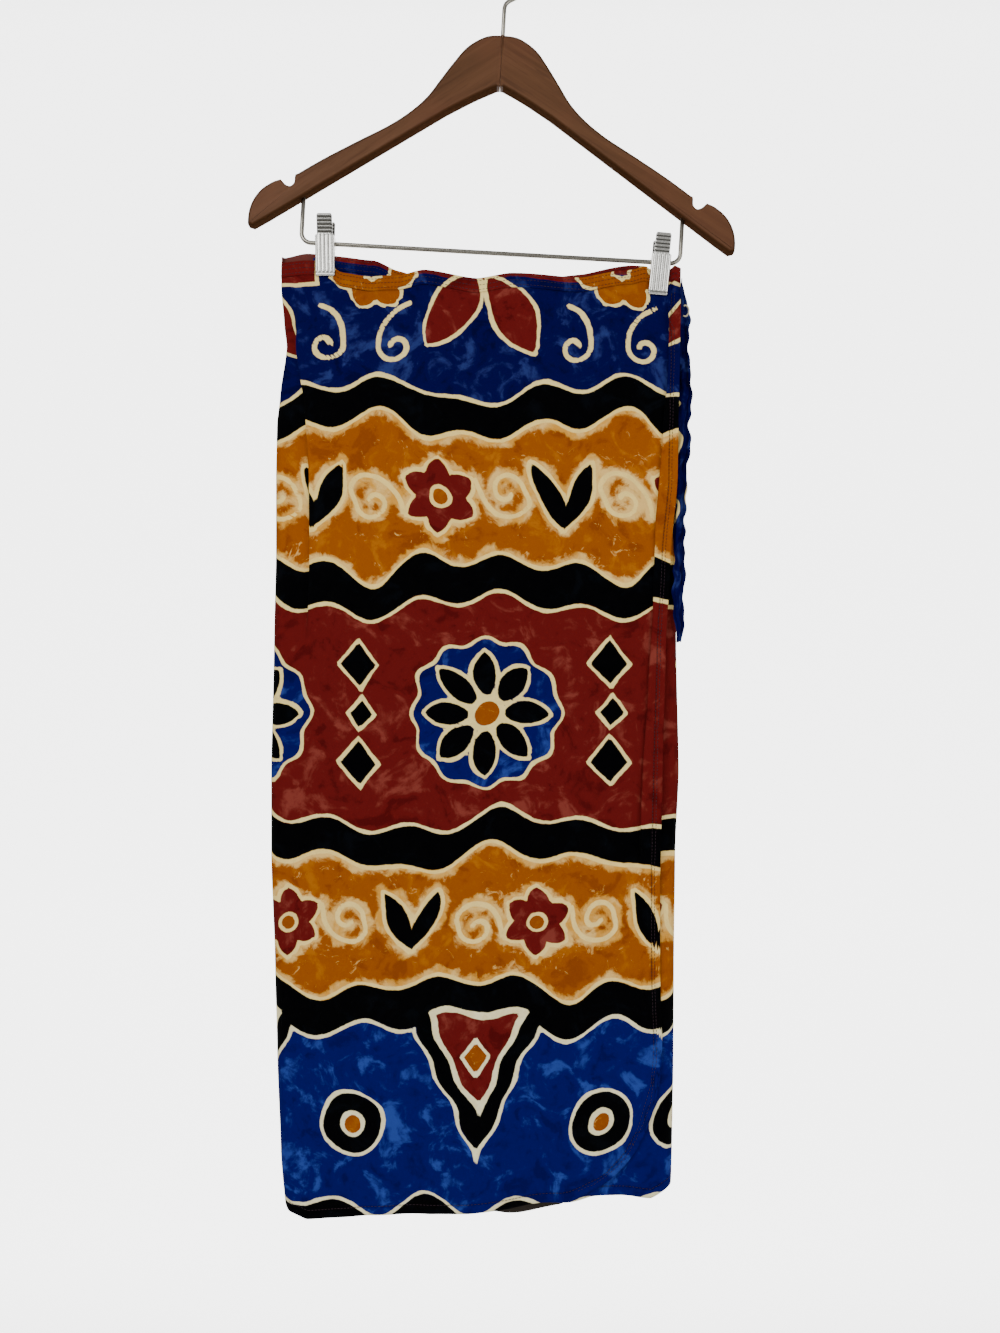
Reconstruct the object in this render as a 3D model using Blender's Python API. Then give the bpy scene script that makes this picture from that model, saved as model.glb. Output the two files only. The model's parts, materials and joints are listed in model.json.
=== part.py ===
"""A wrap sarong skirt clipped to a wooden trouser hanger.

Metres, +Z up. The origin is the point inside the hook that rests on a rail.
+X is the right-hand side seen from the front, and +Y runs away from the viewer.
Sizes are named in millimetres, and every mesh is scaled by MM when it is made.
"""

import math
from collections import namedtuple

import bmesh
import bpy
from mathutils import Vector

MM = 0.001

# Cloth walls and the gaps between pieces
CLOTH_WALL = 1.0
BAND_WALL = 1.6
TIE_WALL = 1.2
GAP = 0.3
LAYER_STEP = 2.1
LOOSE_STEP = 1.5
SEAM_RUN = 0.5
FOLD_BEAD = 1.4
BEAD_RUN = 3.0

# Skirt: the waist line at the clips, and the height of the band sewn along it
WAIST_Z = -277.6
BAND_HEIGHT = 13.0
UNDERLAP_INSET = 28.0
CORNER_WIDTH = 73.0
CORNER_HEIGHT = 128.0
REST_LENGTH = 60.0

# Hanger, in its own upright frame before the tilt
HANGER_TILT = math.radians(3.25)
WOOD_TOP_Z = -75.0
WOOD_THICKNESS = 13.0
WOOD_EDGE_ROUND = 2.6
WOOD_SEAM = 0.3
HOOK_INNER_RADIUS = 19.0
HOOK_WIRE_RADIUS = 1.9
HOOK_START_ANGLE = 205.0
HOOK_END_ANGLE = -52.0
HOOK_STEM_TOP_Z = -50.0
HOOK_STEM_DEPTH = 16.0
BAR_Z = -271.3
BAR_HALF_SPAN = 173.0
BAR_WIRE_RADIUS = 2.0
BAR_BEND_RADIUS = 9.0
BAR_END_DEPTH = 9.0
HOLE_CLEARANCE = 0.3

# Clips: their places along the bar, their own tilt, and their sheet metal
CLIP_LEFT_X = -150.4
CLIP_RIGHT_X = 155.0
CLIP_RIGHT_TILT = math.radians(2.0)
CLIP_SHEET = 1.0
CLIP_FRONT_EAR = 8.8
CLIP_BACK_EAR = 7.5
CLIP_BAR_HOLE_RADIUS = 2.9
SPRING_RADIUS = 4.5
SPRING_HALF_LENGTH = 6.1
FLUTE_COUNT = 4
FLUTE_DEPTH = 0.5
RIDGE_COUNT = 5
RIDGE_DEPTH = 0.6

# The flattened tube of the skirt. drop is measured down from the waist line,
# left and right are the side folds, edge is the free edge of the wrap, side is
# the depth at the folds, front and back are the bulge added halfway between
# them, and cap is how far each rounded side reaches inwards.
Section = namedtuple("Section", "drop left right edge side front back cap")
SECTIONS = [
    Section(-10, -205.0, 153.6, 158.0, 2.2, 3.5, 3.5, 3.0),
    Section(26, -205.7, 153.6, 157.5, 2.6, 4.0, 4.0, 3.4),
    Section(58, -203.0, 153.6, 156.3, 3.4, 4.5, 4.5, 4.2),
    Section(80, -200.6, 153.6, 156.0, 4.0, 5.0, 5.0, 5.0),
    Section(125, -206.6, 153.6, 154.6, 4.8, 6.0, 6.0, 6.0),
    Section(150, -209.4, 153.6, 154.0, 5.2, 6.5, 6.5, 7.0),
    Section(200, -210.3, 153.6, 153.2, 5.6, 7.0, 7.0, 8.0),
    Section(270, -210.3, 153.4, 146.8, 6.0, 7.5, 7.5, 9.0),
    Section(355, -212.1, 153.8, 142.2, 6.4, 8.0, 8.0, 9.0),
    Section(465, -214.6, 156.2, 139.2, 6.8, 8.5, 8.5, 9.5),
    Section(540, -214.6, 152.8, 137.4, 7.0, 8.5, 8.5, 10.0),
    Section(640, -211.2, 151.6, 137.4, 7.4, 9.0, 9.0, 10.0),
    Section(720, -209.2, 151.2, 139.6, 7.6, 9.5, 9.5, 10.0),
    Section(810, -205.7, 149.9, 139.6, 7.8, 10.0, 10.0, 10.0),
    Section(880, -200.0, 147.6, 139.6, 8.0, 11.0, 11.0, 10.0),
]

# Top edge of each layer above (+) or below (-) the waist line, along the waist
TopEdge = namedtuple("TopEdge", "x front under back")
TOP_EDGES = [
    TopEdge(-206, -4, 4, 3),
    TopEdge(-184, -1, 6, 7),
    TopEdge(-168, -1, 5, 6),
    TopEdge(-150, -12, 3, 4),
    TopEdge(-122, -18, -2, 0),
    TopEdge(-98, -18, -13, -10),
    TopEdge(-75, -13, -21, -17),
    TopEdge(-28, -19, -25, -21),
    TopEdge(2, -15, -25, -21),
    TopEdge(65, -19, -15, -14),
    TopEdge(112, -10, -5, -5),
    TopEdge(126, -6, -5, -5),
    TopEdge(131, -9.5, -9.5, -9.5),
    TopEdge(148, -9.5, -9.5, -9.5),
    TopEdge(152, -6, -5, -5),
    TopEdge(159, -9, -5, -5),
]

# Length of each layer below the waist line, along the hem
Hem = namedtuple("Hem", "x front under back")
HEMS = [
    Hem(-204, 848, 850, 850),
    Hem(-196, 861, 858, 862),
    Hem(-180, 867, 860, 868),
    Hem(-125, 859, 860, 868),
    Hem(-70, 860, 858, 876),
    Hem(0, 854, 854, 878),
    Hem(50, 848, 850, 872),
    Hem(75, 838, 844, 856),
    Hem(100, 838, 846, 850),
    Hem(128, 838, 850, 850),
    Hem(150, 838, 839, 840),
]

# Soft vertical folds: place, reach to each side, and depth at waist and hem.
# A positive depth stands towards the outside of that layer.
Fold = namedtuple("Fold", "x reach waist hem")
FRONT_FOLDS = [
    Fold(-172, 26, 0.0, -2.5),
    Fold(-128, 30, 2.0, 3.5),
    Fold(-78, 26, 3.0, -3.0),
    Fold(-26, 24, -2.5, 4.5),
    Fold(22, 24, 1.5, -3.5),
    Fold(66, 20, -1.0, 5.0),
    Fold(104, 20, 0.5, -4.0),
]
BACK_FOLDS = [
    Fold(-160, 30, 0.0, 3.5),
    Fold(-104, 30, -1.0, -4.0),
    Fold(-44, 28, 1.5, 5.0),
    Fold(14, 26, -2.0, -3.5),
    Fold(64, 24, 1.0, 4.5),
    Fold(116, 24, 0.0, -3.5),
]

# Two folds lie flat on the front. line is the folded edge, hidden is the cloth
# turned back under it, and turn is how far the cloth turns round at each bend.
Pleat = namedtuple("Pleat", "drop line hidden turn")
SIDE_TUCK = [
    Pleat(16, -186.0, 3.0, 0),
    Pleat(60, -189.0, 3.0, 60),
    Pleat(85, -190.0, 4.0, 150),
    Pleat(110, -186.5, 6.0, 180),
    Pleat(135, -182.0, 7.0, 180),
    Pleat(200, -178.2, 7.0, 180),
    Pleat(270, -177.6, 5.0, 180),
    Pleat(300, -177.6, 3.0, 150),
    Pleat(330, -177.8, 2.0, 60),
    Pleat(352, -177.8, 2.0, 0),
]
EDGE_PLEAT = [
    Pleat(34, 146.5, 2.0, 0),
    Pleat(48, 147.0, 2.0, 80),
    Pleat(66, 146.8, 4.0, 180),
    Pleat(94, 145.5, 6.0, 180),
    Pleat(162, 140.2, 10.0, 180),
    Pleat(199, 137.0, 12.0, 180),
    Pleat(244, 133.2, 12.0, 180),
    Pleat(308, 131.2, 11.0, 180),
    Pleat(400, 125.8, 9.0, 180),
    Pleat(463, 121.5, 5.0, 180),
    Pleat(502, 119.8, 1.5, 160),
    Pleat(530, 119.8, 1.2, 80),
    Pleat(556, 119.8, 1.2, 0),
]
BEND_RADIUS = 0.85
BEND_STEPS = 4

# Where the jaws press the layers flat, in the skirt's frame
Pinch = namedtuple("Pinch", "x half_width drop")
PINCHES = [Pinch(-165.6, 11.5, 18.0), Pinch(138.0, 11.5, 34.0)]
PINCH_FADE_X = 50.0
PINCH_FADE_DROP = 80.0

# Columns and rows of the cloth grids
CAP_STEPS = 4
TUCK_RUN_STEPS = 2
MAIN_STEPS = 18
STRIP_STEPS = 4
UNDER_STEPS = 17
BACK_STEPS = 19
FRONT_ROWS = 29
PLAIN_ROWS = 20
TOP_ROW_SHARE = 0.5

# Tie: stations down its middle line, with its width across and how it is turned
Station = namedtuple("Station", "x y z width turn crumple")
TIE_STATIONS = [
    Station(158.9, -3.4, -296.0, 4.5, 88, 0.0),
    Station(160.4, -2.6, -306.0, 6.5, 76, 0.4),
    Station(161.6, -0.4, -318.0, 9.0, 45, 1.2),
    Station(161.6, 1.5, -336.0, 11.0, 10, 2.2),
    Station(161.2, 1.0, -365.0, 10.0, -20, 2.4),
    Station(162.0, 0.0, -405.0, 11.0, 15, 2.4),
    Station(161.2, -1.0, -440.0, 10.5, 30, 2.2),
    Station(159.8, -4.5, -480.0, 9.5, -10, 2.4),
    Station(158.4, -8.0, -520.0, 9.5, -25, 2.2),
    Station(157.2, -10.5, -560.0, 10.5, 10, 2.4),
    Station(156.8, -11.5, -600.0, 9.5, 20, 2.0),
    Station(156.4, -11.5, -626.0, 6.0, 10, 1.2),
]
TIE_ROWS = 34
TIE_COLUMNS = 6

# Wooden arm, half of the hanger, from the middle out: the curved top edge, the
# strap notch, the end lobe and the lower edge, all below WOOD_TOP_Z
ARM_TOP = [(0, 0), (15, -2), (31, -12), (43, -27), (54, -43), (65, -59), (79, -73),
           (98, -87), (124, -102), (155, -120.3), (180.5, -137)]
NOTCH = [(181.3, -144.5), (184.6, -147.8), (189.0, -146.6), (193.0, -142.6)]
LOBE_CENTRE = (189.0, -179.0)
LOBE_RADII = (32.6, 36.6)
LOBE_START_ANGLE = 78.0
LOBE_END_ANGLE = -8.0
LOBE_STEPS = 8
ARM_LOW = [(216.5, -185.5), (204, -177.5), (47.5, -72), (22, -57), (0, -46)]

# Half of a clip: height above the bar, distance of its outer face from the
# middle, half width, where the side flanges end, and the depth of the flutes
Jaw = namedtuple("Jaw", "z face half_width flange flute")
JAW_ROWS = [
    Jaw(23.5, 11.2, 6.2, 9.6, 0),
    Jaw(22.0, 11.4, 7.0, 9.4, 0),
    Jaw(6.0, 8.9, 7.0, 6.6, 0),
    Jaw(5.0, 8.7, 8.8, 4.6, FLUTE_DEPTH),
    Jaw(4.4, 8.6, 8.8, -4.4, FLUTE_DEPTH),
    Jaw(-4.4, 7.8, 8.8, -4.4, FLUTE_DEPTH),
    Jaw(-6.2, 7.6, 8.8, 4.8, FLUTE_DEPTH),
    Jaw(-26.5, 5.4, 8.8, 3.4, FLUTE_DEPTH),
    Jaw(-27.5, 5.3, 8.8, 3.3, 0),
    Jaw(-29.5, 5.0, 8.8, 3.2, 0),
    Jaw(-30.5, 4.4, 8.2, 3.2, 0),
]

Finish = namedtuple("Finish", "colour roughness metallic")
BLUE_PRINT = Finish((0.012, 0.055, 0.21), 0.8, 0.0)
RED_PRINT = Finish((0.16, 0.012, 0.01), 0.8, 0.0)
GOLD_PRINT = Finish((0.45, 0.16, 0.01), 0.8, 0.0)
DARK_PRINT = Finish((0.01, 0.01, 0.015), 0.8, 0.0)
WALNUT = Finish((0.13, 0.05, 0.025), 0.45, 0.0)
CHROME = Finish((0.72, 0.72, 0.7), 0.22, 1.0)


def smooth(share):
    """0 below 0, 1 above 1, and an even curve between."""
    t = min(1.0, max(0.0, share))
    return t * t * (3 - 2 * t)


def read(table, key, value, column):
    """A column of a table where its key column has that value, joined by even curves."""
    if value <= getattr(table[0], key):
        return getattr(table[0], column)
    for low, high in zip(table, table[1:]):
        start, end = getattr(low, key), getattr(high, key)
        if value <= end:
            share = (value - start) / (end - start)
            a, b = getattr(low, column), getattr(high, column)
            return a + (b - a) * (0.5 * share + 0.5 * smooth(share))
    return getattr(table[-1], column)


def section(drop, column):
    return read(SECTIONS, "drop", drop, column)


def pinch(x, drop):
    """1 where a clip presses the layers together, fading to 0 around it."""
    held = 0.0
    for clip in PINCHES:
        across = 1 - smooth((abs(x - clip.x) - clip.half_width) / PINCH_FADE_X)
        down = 1 - smooth((drop - clip.drop) / PINCH_FADE_DROP)
        held = max(held, across * down)
    return held


def swell(x, drop, folds, column):
    """How far a layer stands off the middle plane, before its place in the stack."""
    left, right = section(drop, "left"), section(drop, "right")
    along = 2 * (x - left) / (right - left) - 1
    dome = max(0.0, 1 - along ** 4)
    depth = section(drop, "side") + section(drop, column) * dome
    down = smooth(drop / SECTIONS[-1].drop)
    for fold in folds:
        reach = math.exp(-(((x - fold.x) / fold.reach) ** 2))
        depth += (fold.waist + (fold.hem - fold.waist) * down) * reach * dome
    bead = FOLD_BEAD * (1 - smooth((right - x - BEAD_RUN) / BEAD_RUN))
    return max(0.0, depth) * (1 - pinch(x, drop)) + bead * (1 - down)


def under_y(x, drop):
    return -swell(x, drop, FRONT_FOLDS, "front")


def outer_y(x, drop):
    return under_y(x, drop) - LAYER_STEP - LOOSE_STEP * (1 - pinch(x, drop))


def back_y(x, drop):
    return LAYER_STEP + swell(x, drop, BACK_FOLDS, "back")


def cap(tip, reach, near_y, far_y):
    """A rounded side, from the layer at near_y to the seam halfway to far_y."""
    inward = 1 if far_y > near_y else -1
    seam_y = (near_y + far_y) / 2 - inward * GAP / 2
    bend = seam_y - inward * SEAM_RUN - near_y
    points = []
    for step in range(CAP_STEPS + 1):
        angle = math.pi / 2 * step / CAP_STEPS
        points.append((tip - reach + reach * math.sin(angle), near_y + bend * (1 - math.cos(angle))))
    return points + [(tip, seam_y)]


def pleat_points(drop, table):
    """The bends of a flat fold as (x, height) points, its end at height 0 first."""
    line = read(table, "drop", drop, "line")
    hidden = read(table, "drop", drop, "hidden")
    turn = math.radians(read(table, "drop", drop, "turn"))
    bend_length = math.pi * BEND_RADIUS
    points = [(0.0, 0.0)]
    step = bend_length / BEND_STEPS

    def forward(length, heading):
        x, height = points[-1]
        points.append((x + length * math.cos(heading), height + length * math.sin(heading)))

    for k in range(BEND_STEPS):
        forward(step, turn * (k + 0.5) / BEND_STEPS)
    forward(hidden, turn)
    for k in range(BEND_STEPS):
        forward(step, turn * (1 - (k + 0.5) / BEND_STEPS))
    shift = line + BEND_RADIUS - points[-1][0]
    return [(x + shift, height) for x, height in points]


def front_path(drop, pleated=True):
    """The outer wrap across the front: left seam, tuck, main panel, pleat, free edge."""
    left, edge = section(drop, "left"), section(drop, "edge")
    reach = section(drop, "cap")
    start = left + reach
    rounded = cap(-left, reach, outer_y(start, drop), back_y(start, drop))
    path = [(-x, y) for x, y in reversed(rounded)]
    flat_drop = drop if pleated else SIDE_TUCK[0].drop
    tuck = pleat_points(flat_drop, SIDE_TUCK)
    fold = pleat_points(flat_drop if pleated else EDGE_PLEAT[0].drop, EDGE_PLEAT)
    runs = []
    for k in range(1, TUCK_RUN_STEPS):
        runs.append((start + (tuck[0][0] - start) * k / TUCK_RUN_STEPS, 0.0))
    runs += tuck
    tuck_end, tuck_height = tuck[-1]
    for k in range(1, MAIN_STEPS):
        x = tuck_end + (fold[0][0] - tuck_end) * k / MAIN_STEPS
        rest = 1 - smooth((x - tuck_end) / REST_LENGTH)
        runs.append((x, tuck_height * rest))
    runs += fold
    fold_end, fold_height = fold[-1]
    for k in range(1, STRIP_STEPS + 1):
        share = math.sin(math.pi / 2 * k / STRIP_STEPS)
        runs.append((fold_end + (edge - fold_end) * share, fold_height))
    return path + [(x, outer_y(x, drop) - height) for x, height in runs]


def under_path(drop):
    """The inner wrap: its free edge near the left side, across to the right seam."""
    start = section(drop, "left") + UNDERLAP_INSET
    right, reach = section(drop, "right"), section(drop, "cap")
    end = right - reach
    path = []
    for k in range(UNDER_STEPS + 1):
        x = start + (end - BEAD_RUN - start) * k / UNDER_STEPS
        path.append((x, under_y(x, drop)))
    return path + cap(right, reach, under_y(end, drop), back_y(end, drop))


def back_path(drop):
    """The back, from the left seam round to the right seam."""
    left, right, reach = section(drop, "left"), section(drop, "right"), section(drop, "cap")
    start, end = left + reach, right - reach
    rounded = cap(-left, reach, back_y(start, drop), outer_y(start, drop))
    path = [(-x, y) for x, y in reversed(rounded)]
    for k in range(1, BACK_STEPS + 1):
        x = start + (end - BEAD_RUN - start) * k / BACK_STEPS
        path.append((x, back_y(x, drop)))
    return path + cap(right, reach, back_y(end, drop), under_y(end, drop))


def top_drop(x, layer):
    return -read(TOP_EDGES, "x", x, layer)


def hem_drop(x, layer):
    length = read(HEMS, "x", x, layer)
    if layer == "front":
        share = (x - (SECTIONS[-1].edge - CORNER_WIDTH)) / CORNER_WIDTH
        share = min(1.0, max(0.0, share))
        length -= CORNER_HEIGHT * (1 - math.sqrt(1 - share * share))
    return length


def grid(path, layer, top_offset, rows, bottom=None):
    """Rows of points. Each column runs from the layer's top edge to its hem."""
    at_top, at_hem = path(20.0), path(SECTIONS[-1].drop)
    starts = [top_drop(x, layer) + top_offset for x, _ in at_top]
    if bottom is None:
        ends = [hem_drop(x, layer) for x, _ in at_hem]
    else:
        ends = [top_drop(x, layer) + bottom for x, _ in at_top]
    points = []
    for row in range(rows + 1):
        line = []
        share = row / rows
        share *= TOP_ROW_SHARE + (1 - TOP_ROW_SHARE) * share
        for column, (start, end) in enumerate(zip(starts, ends)):
            drop = start + (end - start) * share
            x, y = path(drop)[column]
            line.append((x, y, WAIST_Z - drop))
        points.append(line)
    return points


def add_object(name, mesh, finish):
    material = bpy.data.materials.new(name)
    material.use_nodes = True
    surface = material.node_tree.nodes["Principled BSDF"]
    surface.inputs["Base Color"].default_value = (*finish.colour, 1.0)
    surface.inputs["Roughness"].default_value = finish.roughness
    surface.inputs["Metallic"].default_value = finish.metallic
    mesh.materials.append(material)
    shape = bpy.data.objects.new(name, mesh)
    bpy.context.scene.collection.objects.link(shape)
    return shape


def mesh_from(name, points, faces):
    """A mesh from millimetre points, with its faces turned the same way."""
    built = bmesh.new()
    corners = [built.verts.new(Vector(point) * MM) for point in points]
    for face in faces:
        built.faces.new([corners[index] for index in face])
    bmesh.ops.recalc_face_normals(built, faces=built.faces)
    mesh = bpy.data.meshes.new(name)
    built.to_mesh(mesh)
    built.free()
    return mesh


def cloth_wall(name, rows, wall, finish):
    """A sheet of cloth through rows of points, thickened evenly to both sides."""
    wide = len(rows[0])
    points = [point for row in rows for point in row]
    faces = []
    for i in range(len(rows) - 1):
        for j in range(wide - 1):
            corner = i * wide + j
            faces.append((corner, corner + 1, corner + wide + 1, corner + wide))
    mesh = mesh_from(name, points, faces)
    mesh.shade_smooth()
    shape = add_object(name, mesh, finish)
    thick = shape.modifiers.new("thickness", "SOLIDIFY")
    thick.thickness = wall * MM
    thick.offset = 0.0
    thick.use_even_offset = True
    thick.use_quality_normals = True
    return shape


def add_skirt():
    """Three stretches of one wrapped cloth, each with its own stretch of waistband."""
    below_band = BAND_HEIGHT + GAP

    def band_path(drop):
        return front_path(drop, pleated=False)

    panels = [
        ("front_wrap", front_path, "front", FRONT_ROWS, BLUE_PRINT),
        ("under_wrap", under_path, "under", PLAIN_ROWS, GOLD_PRINT),
        ("back_panel", back_path, "back", PLAIN_ROWS, RED_PRINT),
    ]
    for name, path, layer, rows, finish in panels:
        cloth_wall(name, grid(path, layer, below_band, rows), CLOTH_WALL, finish)
    bands = [
        ("waistband_front", band_path, "front"),
        ("waistband_under", under_path, "under"),
        ("waistband_back", back_path, "back"),
    ]
    for name, path, layer in bands:
        strip = grid(path, layer, 0.0, 1, bottom=BAND_HEIGHT)
        cloth_wall(name, strip, BAND_WALL, DARK_PRINT)


def tie_rows():
    """The tie's cloth, gathered lengthwise into shallow ridges as it hangs."""
    rows = []
    last = len(TIE_STATIONS) - 1
    for i in range(TIE_ROWS + 1):
        place = last * i / TIE_ROWS
        index = min(int(place), last - 1)
        share = place - index
        blend = 0.4 * share + 0.6 * smooth(share)
        a, b = TIE_STATIONS[index], TIE_STATIONS[index + 1]
        x, y, z, width, turn, crumple = (p + (q - p) * blend for p, q in zip(a, b))
        z = a.z + (b.z - a.z) * share
        along, over = math.cos(math.radians(turn)), math.sin(math.radians(turn))
        row = []
        for j in range(TIE_COLUMNS + 1):
            across = j / TIE_COLUMNS - 0.5
            ridge = crumple * math.cos(math.pi * TIE_COLUMNS / 2 * (across + 0.5)) * 0.5
            flat = width * across
            row.append((
                x + flat * along - ridge * over,
                y + flat * over + ridge * along,
                z,
            ))
        rows.append(row)
    return rows


def smooth_line(points, per_span):
    """An even curve through points, sampled per_span times between each pair."""
    line = []
    for i in range(len(points) - 1):
        before = Vector(points[max(0, i - 1)])
        a, b = Vector(points[i]), Vector(points[i + 1])
        after = Vector(points[min(len(points) - 1, i + 2)])
        for k in range(per_span):
            t = k / per_span
            line.append(
                a
                + t * (b - before) / 2
                + t * t * (2 * before - 5 * a + 4 * b - after) / 2
                + t ** 3 * (3 * a - 3 * b + after - before) / 2
            )
    line.append(Vector(points[-1]))
    return line


def arm_outline():
    """The outline of the right arm, in millimetres, from the middle seam round."""
    outline = [(p.x, p.y) for p in smooth_line(ARM_TOP, 2)]
    outline += NOTCH
    for step in range(1, LOBE_STEPS + 1):
        share = step / LOBE_STEPS
        angle = math.radians(LOBE_START_ANGLE + (LOBE_END_ANGLE - LOBE_START_ANGLE) * share)
        outline.append((
            LOBE_CENTRE[0] + LOBE_RADII[0] * math.cos(angle),
            LOBE_CENTRE[1] + LOBE_RADII[1] * math.sin(angle),
        ))
    return outline + ARM_LOW


def cutter(name, radius, start, end, parent):
    """A round cutter between two points of its parent's frame."""
    built = bmesh.new()
    a, b = Vector(start) * MM, Vector(end) * MM
    bmesh.ops.create_cone(
        built, cap_ends=True, segments=16, radius1=radius * MM, radius2=radius * MM,
        depth=(b - a).length,
    )
    mesh = bpy.data.meshes.new(name)
    built.to_mesh(mesh)
    built.free()
    shape = bpy.data.objects.new(name, mesh)
    bpy.context.scene.collection.objects.link(shape)
    shape.parent = parent
    shape.location = (a + b) / 2
    shape.rotation_mode = "QUATERNION"
    shape.rotation_quaternion = (b - a).to_track_quat("Z", "Y")
    shape.hide_render = True
    shape.display_type = "WIRE"
    return shape


def cut(shape, tool):
    hole = shape.modifiers.new(tool.name, "BOOLEAN")
    hole.operation = "DIFFERENCE"
    hole.object = tool


def add_arm(side, name, frame):
    """One half of the wooden hanger, with its half of the hook's hole and the bar's hole."""
    outline = arm_outline()
    count = len(outline)
    points = []
    for y in (-WOOD_THICKNESS / 2, WOOD_THICKNESS / 2):
        for x, z in outline:
            points.append((side * (x + WOOD_SEAM / 2), y, WOOD_TOP_Z + z))
    faces = [tuple(range(count)), tuple(range(2 * count - 1, count - 1, -1))]
    for k in range(count):
        following = (k + 1) % count
        faces.append((k, k + count, following + count, following))
    shape = add_object(name, mesh_from(name, points, faces), WALNUT)
    shape.parent = frame
    rounded = shape.modifiers.new("rounded edges", "BEVEL")
    rounded.width = WOOD_EDGE_ROUND * MM
    rounded.segments = 2
    rounded.limit_method = "ANGLE"
    rounded.angle_limit = math.radians(70)
    hook_hole = cutter(
        f"{name}_hook_hole", HOOK_WIRE_RADIUS + HOLE_CLEARANCE,
        (0, 0, WOOD_TOP_Z - HOOK_STEM_DEPTH - HOLE_CLEARANCE), (0, 0, WOOD_TOP_Z + 8), frame,
    )
    bar_hole = cutter(
        f"{name}_bar_hole", BAR_WIRE_RADIUS + HOLE_CLEARANCE,
        (side * BAR_HALF_SPAN, 0, BAR_Z),
        (side * BAR_HALF_SPAN, 0, bar_end_z() + HOLE_CLEARANCE), frame,
    )
    cut(shape, hook_hole)
    cut(shape, bar_hole)


def bar_end_z():
    """Top of the bar's upright ends, inside the wood above the arm's lower edge."""
    (outer_x, outer_z), (inner_x, inner_z) = ARM_LOW[1], ARM_LOW[2]
    share = (BAR_HALF_SPAN - inner_x) / (outer_x - inner_x)
    return WOOD_TOP_Z + inner_z + (outer_z - inner_z) * share + BAR_END_DEPTH


def add_wire(name, route, radius, frame):
    """A round wire through millimetre points."""
    curve = bpy.data.curves.new(name, "CURVE")
    curve.dimensions = "3D"
    curve.bevel_depth = radius * MM
    curve.bevel_resolution = 3
    curve.use_fill_caps = True
    spline = curve.splines.new("POLY")
    spline.points.add(len(route) - 1)
    for point, place in zip(spline.points, route):
        point.co = (*(Vector(place) * MM), 1.0)
    shape = add_object(name, curve, CHROME)
    shape.parent = frame


def hook_route():
    """Round the rail, back under it to the middle, and down into the wood."""
    centre_z = -HOOK_INNER_RADIUS
    radius = HOOK_INNER_RADIUS + HOOK_WIRE_RADIUS
    steps = 26
    route = []
    for k in range(steps + 1):
        angle = math.radians(
            HOOK_START_ANGLE + (HOOK_END_ANGLE - HOOK_START_ANGLE) * k / steps
        )
        route.append((radius * math.cos(angle), 0, centre_z + radius * math.sin(angle)))
    leave = math.radians(HOOK_END_ANGLE)
    start = Vector(route[-1])
    along = Vector((math.sin(leave), 0, -math.cos(leave)))
    stem = Vector((0, 0, HOOK_STEM_TOP_Z))
    reach = (stem - start).length / 2
    for k in range(1, 9):
        t = k / 8
        a, b = start + along * reach, stem + Vector((0, 0, reach))
        route.append(tuple(
            start * (1 - t) ** 3 + 3 * a * t * (1 - t) ** 2 + 3 * b * t * t * (1 - t) + stem * t ** 3
        ))
    route.append((0, 0, WOOD_TOP_Z - HOOK_STEM_DEPTH))
    return route


def bar_route():
    """Down from the left arm, across, and up to the right arm."""
    half = BAR_HALF_SPAN
    route = [(-half, 0, bar_end_z())]
    for k in range(5):
        angle = math.radians(180 + 90 * k / 4)
        route.append((
            -half + BAR_BEND_RADIUS * (1 + math.cos(angle)), 0,
            BAR_Z + BAR_BEND_RADIUS * (1 + math.sin(angle)),
        ))
    return route + [(-x, y, z) for x, y, z in reversed(route)]


def jaw_levels():
    """Heights of a jaw's rows, with the finger grip's ridges between the first two."""
    levels = list(JAW_ROWS[:2])
    top, foot = JAW_ROWS[1], JAW_ROWS[2]
    for k in range(1, 2 * RIDGE_COUNT):
        share = k / (2 * RIDGE_COUNT)
        row = [p + (q - p) * share for p, q in zip(top, foot)]
        row[1] -= RIDGE_DEPTH * (k % 2)
        levels.append(Jaw(*row))
    return levels + list(JAW_ROWS[2:])


def jaw_section(row, ear):
    """Outer face left to right with its flutes, then the inner face back again."""
    half = min(row.half_width, ear)
    points = [(-half, row.flange), (-half, row.face)]
    for k in range(1, 2 * FLUTE_COUNT + 1):
        depth = row.flute * ((k + 1) % 2)
        points.append((half * (k / (FLUTE_COUNT + 0.5) - 1), row.face - depth))
    points += [(half, row.face), (half, row.flange)]
    inner = half - CLIP_SHEET
    inside = max(row.face - CLIP_SHEET - FLUTE_DEPTH, row.flange + 0.2)
    return points + [(inner, row.flange), (inner, inside), (-inner, inside), (-inner, row.flange)]


def add_jaw(name, facing, ear, place, frame):
    """One jaw of a clip. facing is -1 for the front jaw and 1 for the back one."""
    rows = [jaw_section(row, ear) for row in jaw_levels()]
    wide = len(rows[0])
    points = []
    for row, level in zip(rows, jaw_levels()):
        points += [(x, facing * depth, level.z) for x, depth in row]
    faces = [tuple(range(wide)), tuple(range(len(points) - wide, len(points)))]
    for i in range(len(rows) - 1):
        for j in range(wide):
            corner, following = i * wide + j, i * wide + (j + 1) % wide
            faces.append((corner, following, following + wide, corner + wide))
    shape = add_object(name, mesh_from(name, points, faces), CHROME)
    shape.parent = place
    hole = cutter(f"{name}_bar_hole", CLIP_BAR_HOLE_RADIUS, (-20, 0, 0), (20, 0, 0), place)
    cut(shape, hole)


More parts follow.
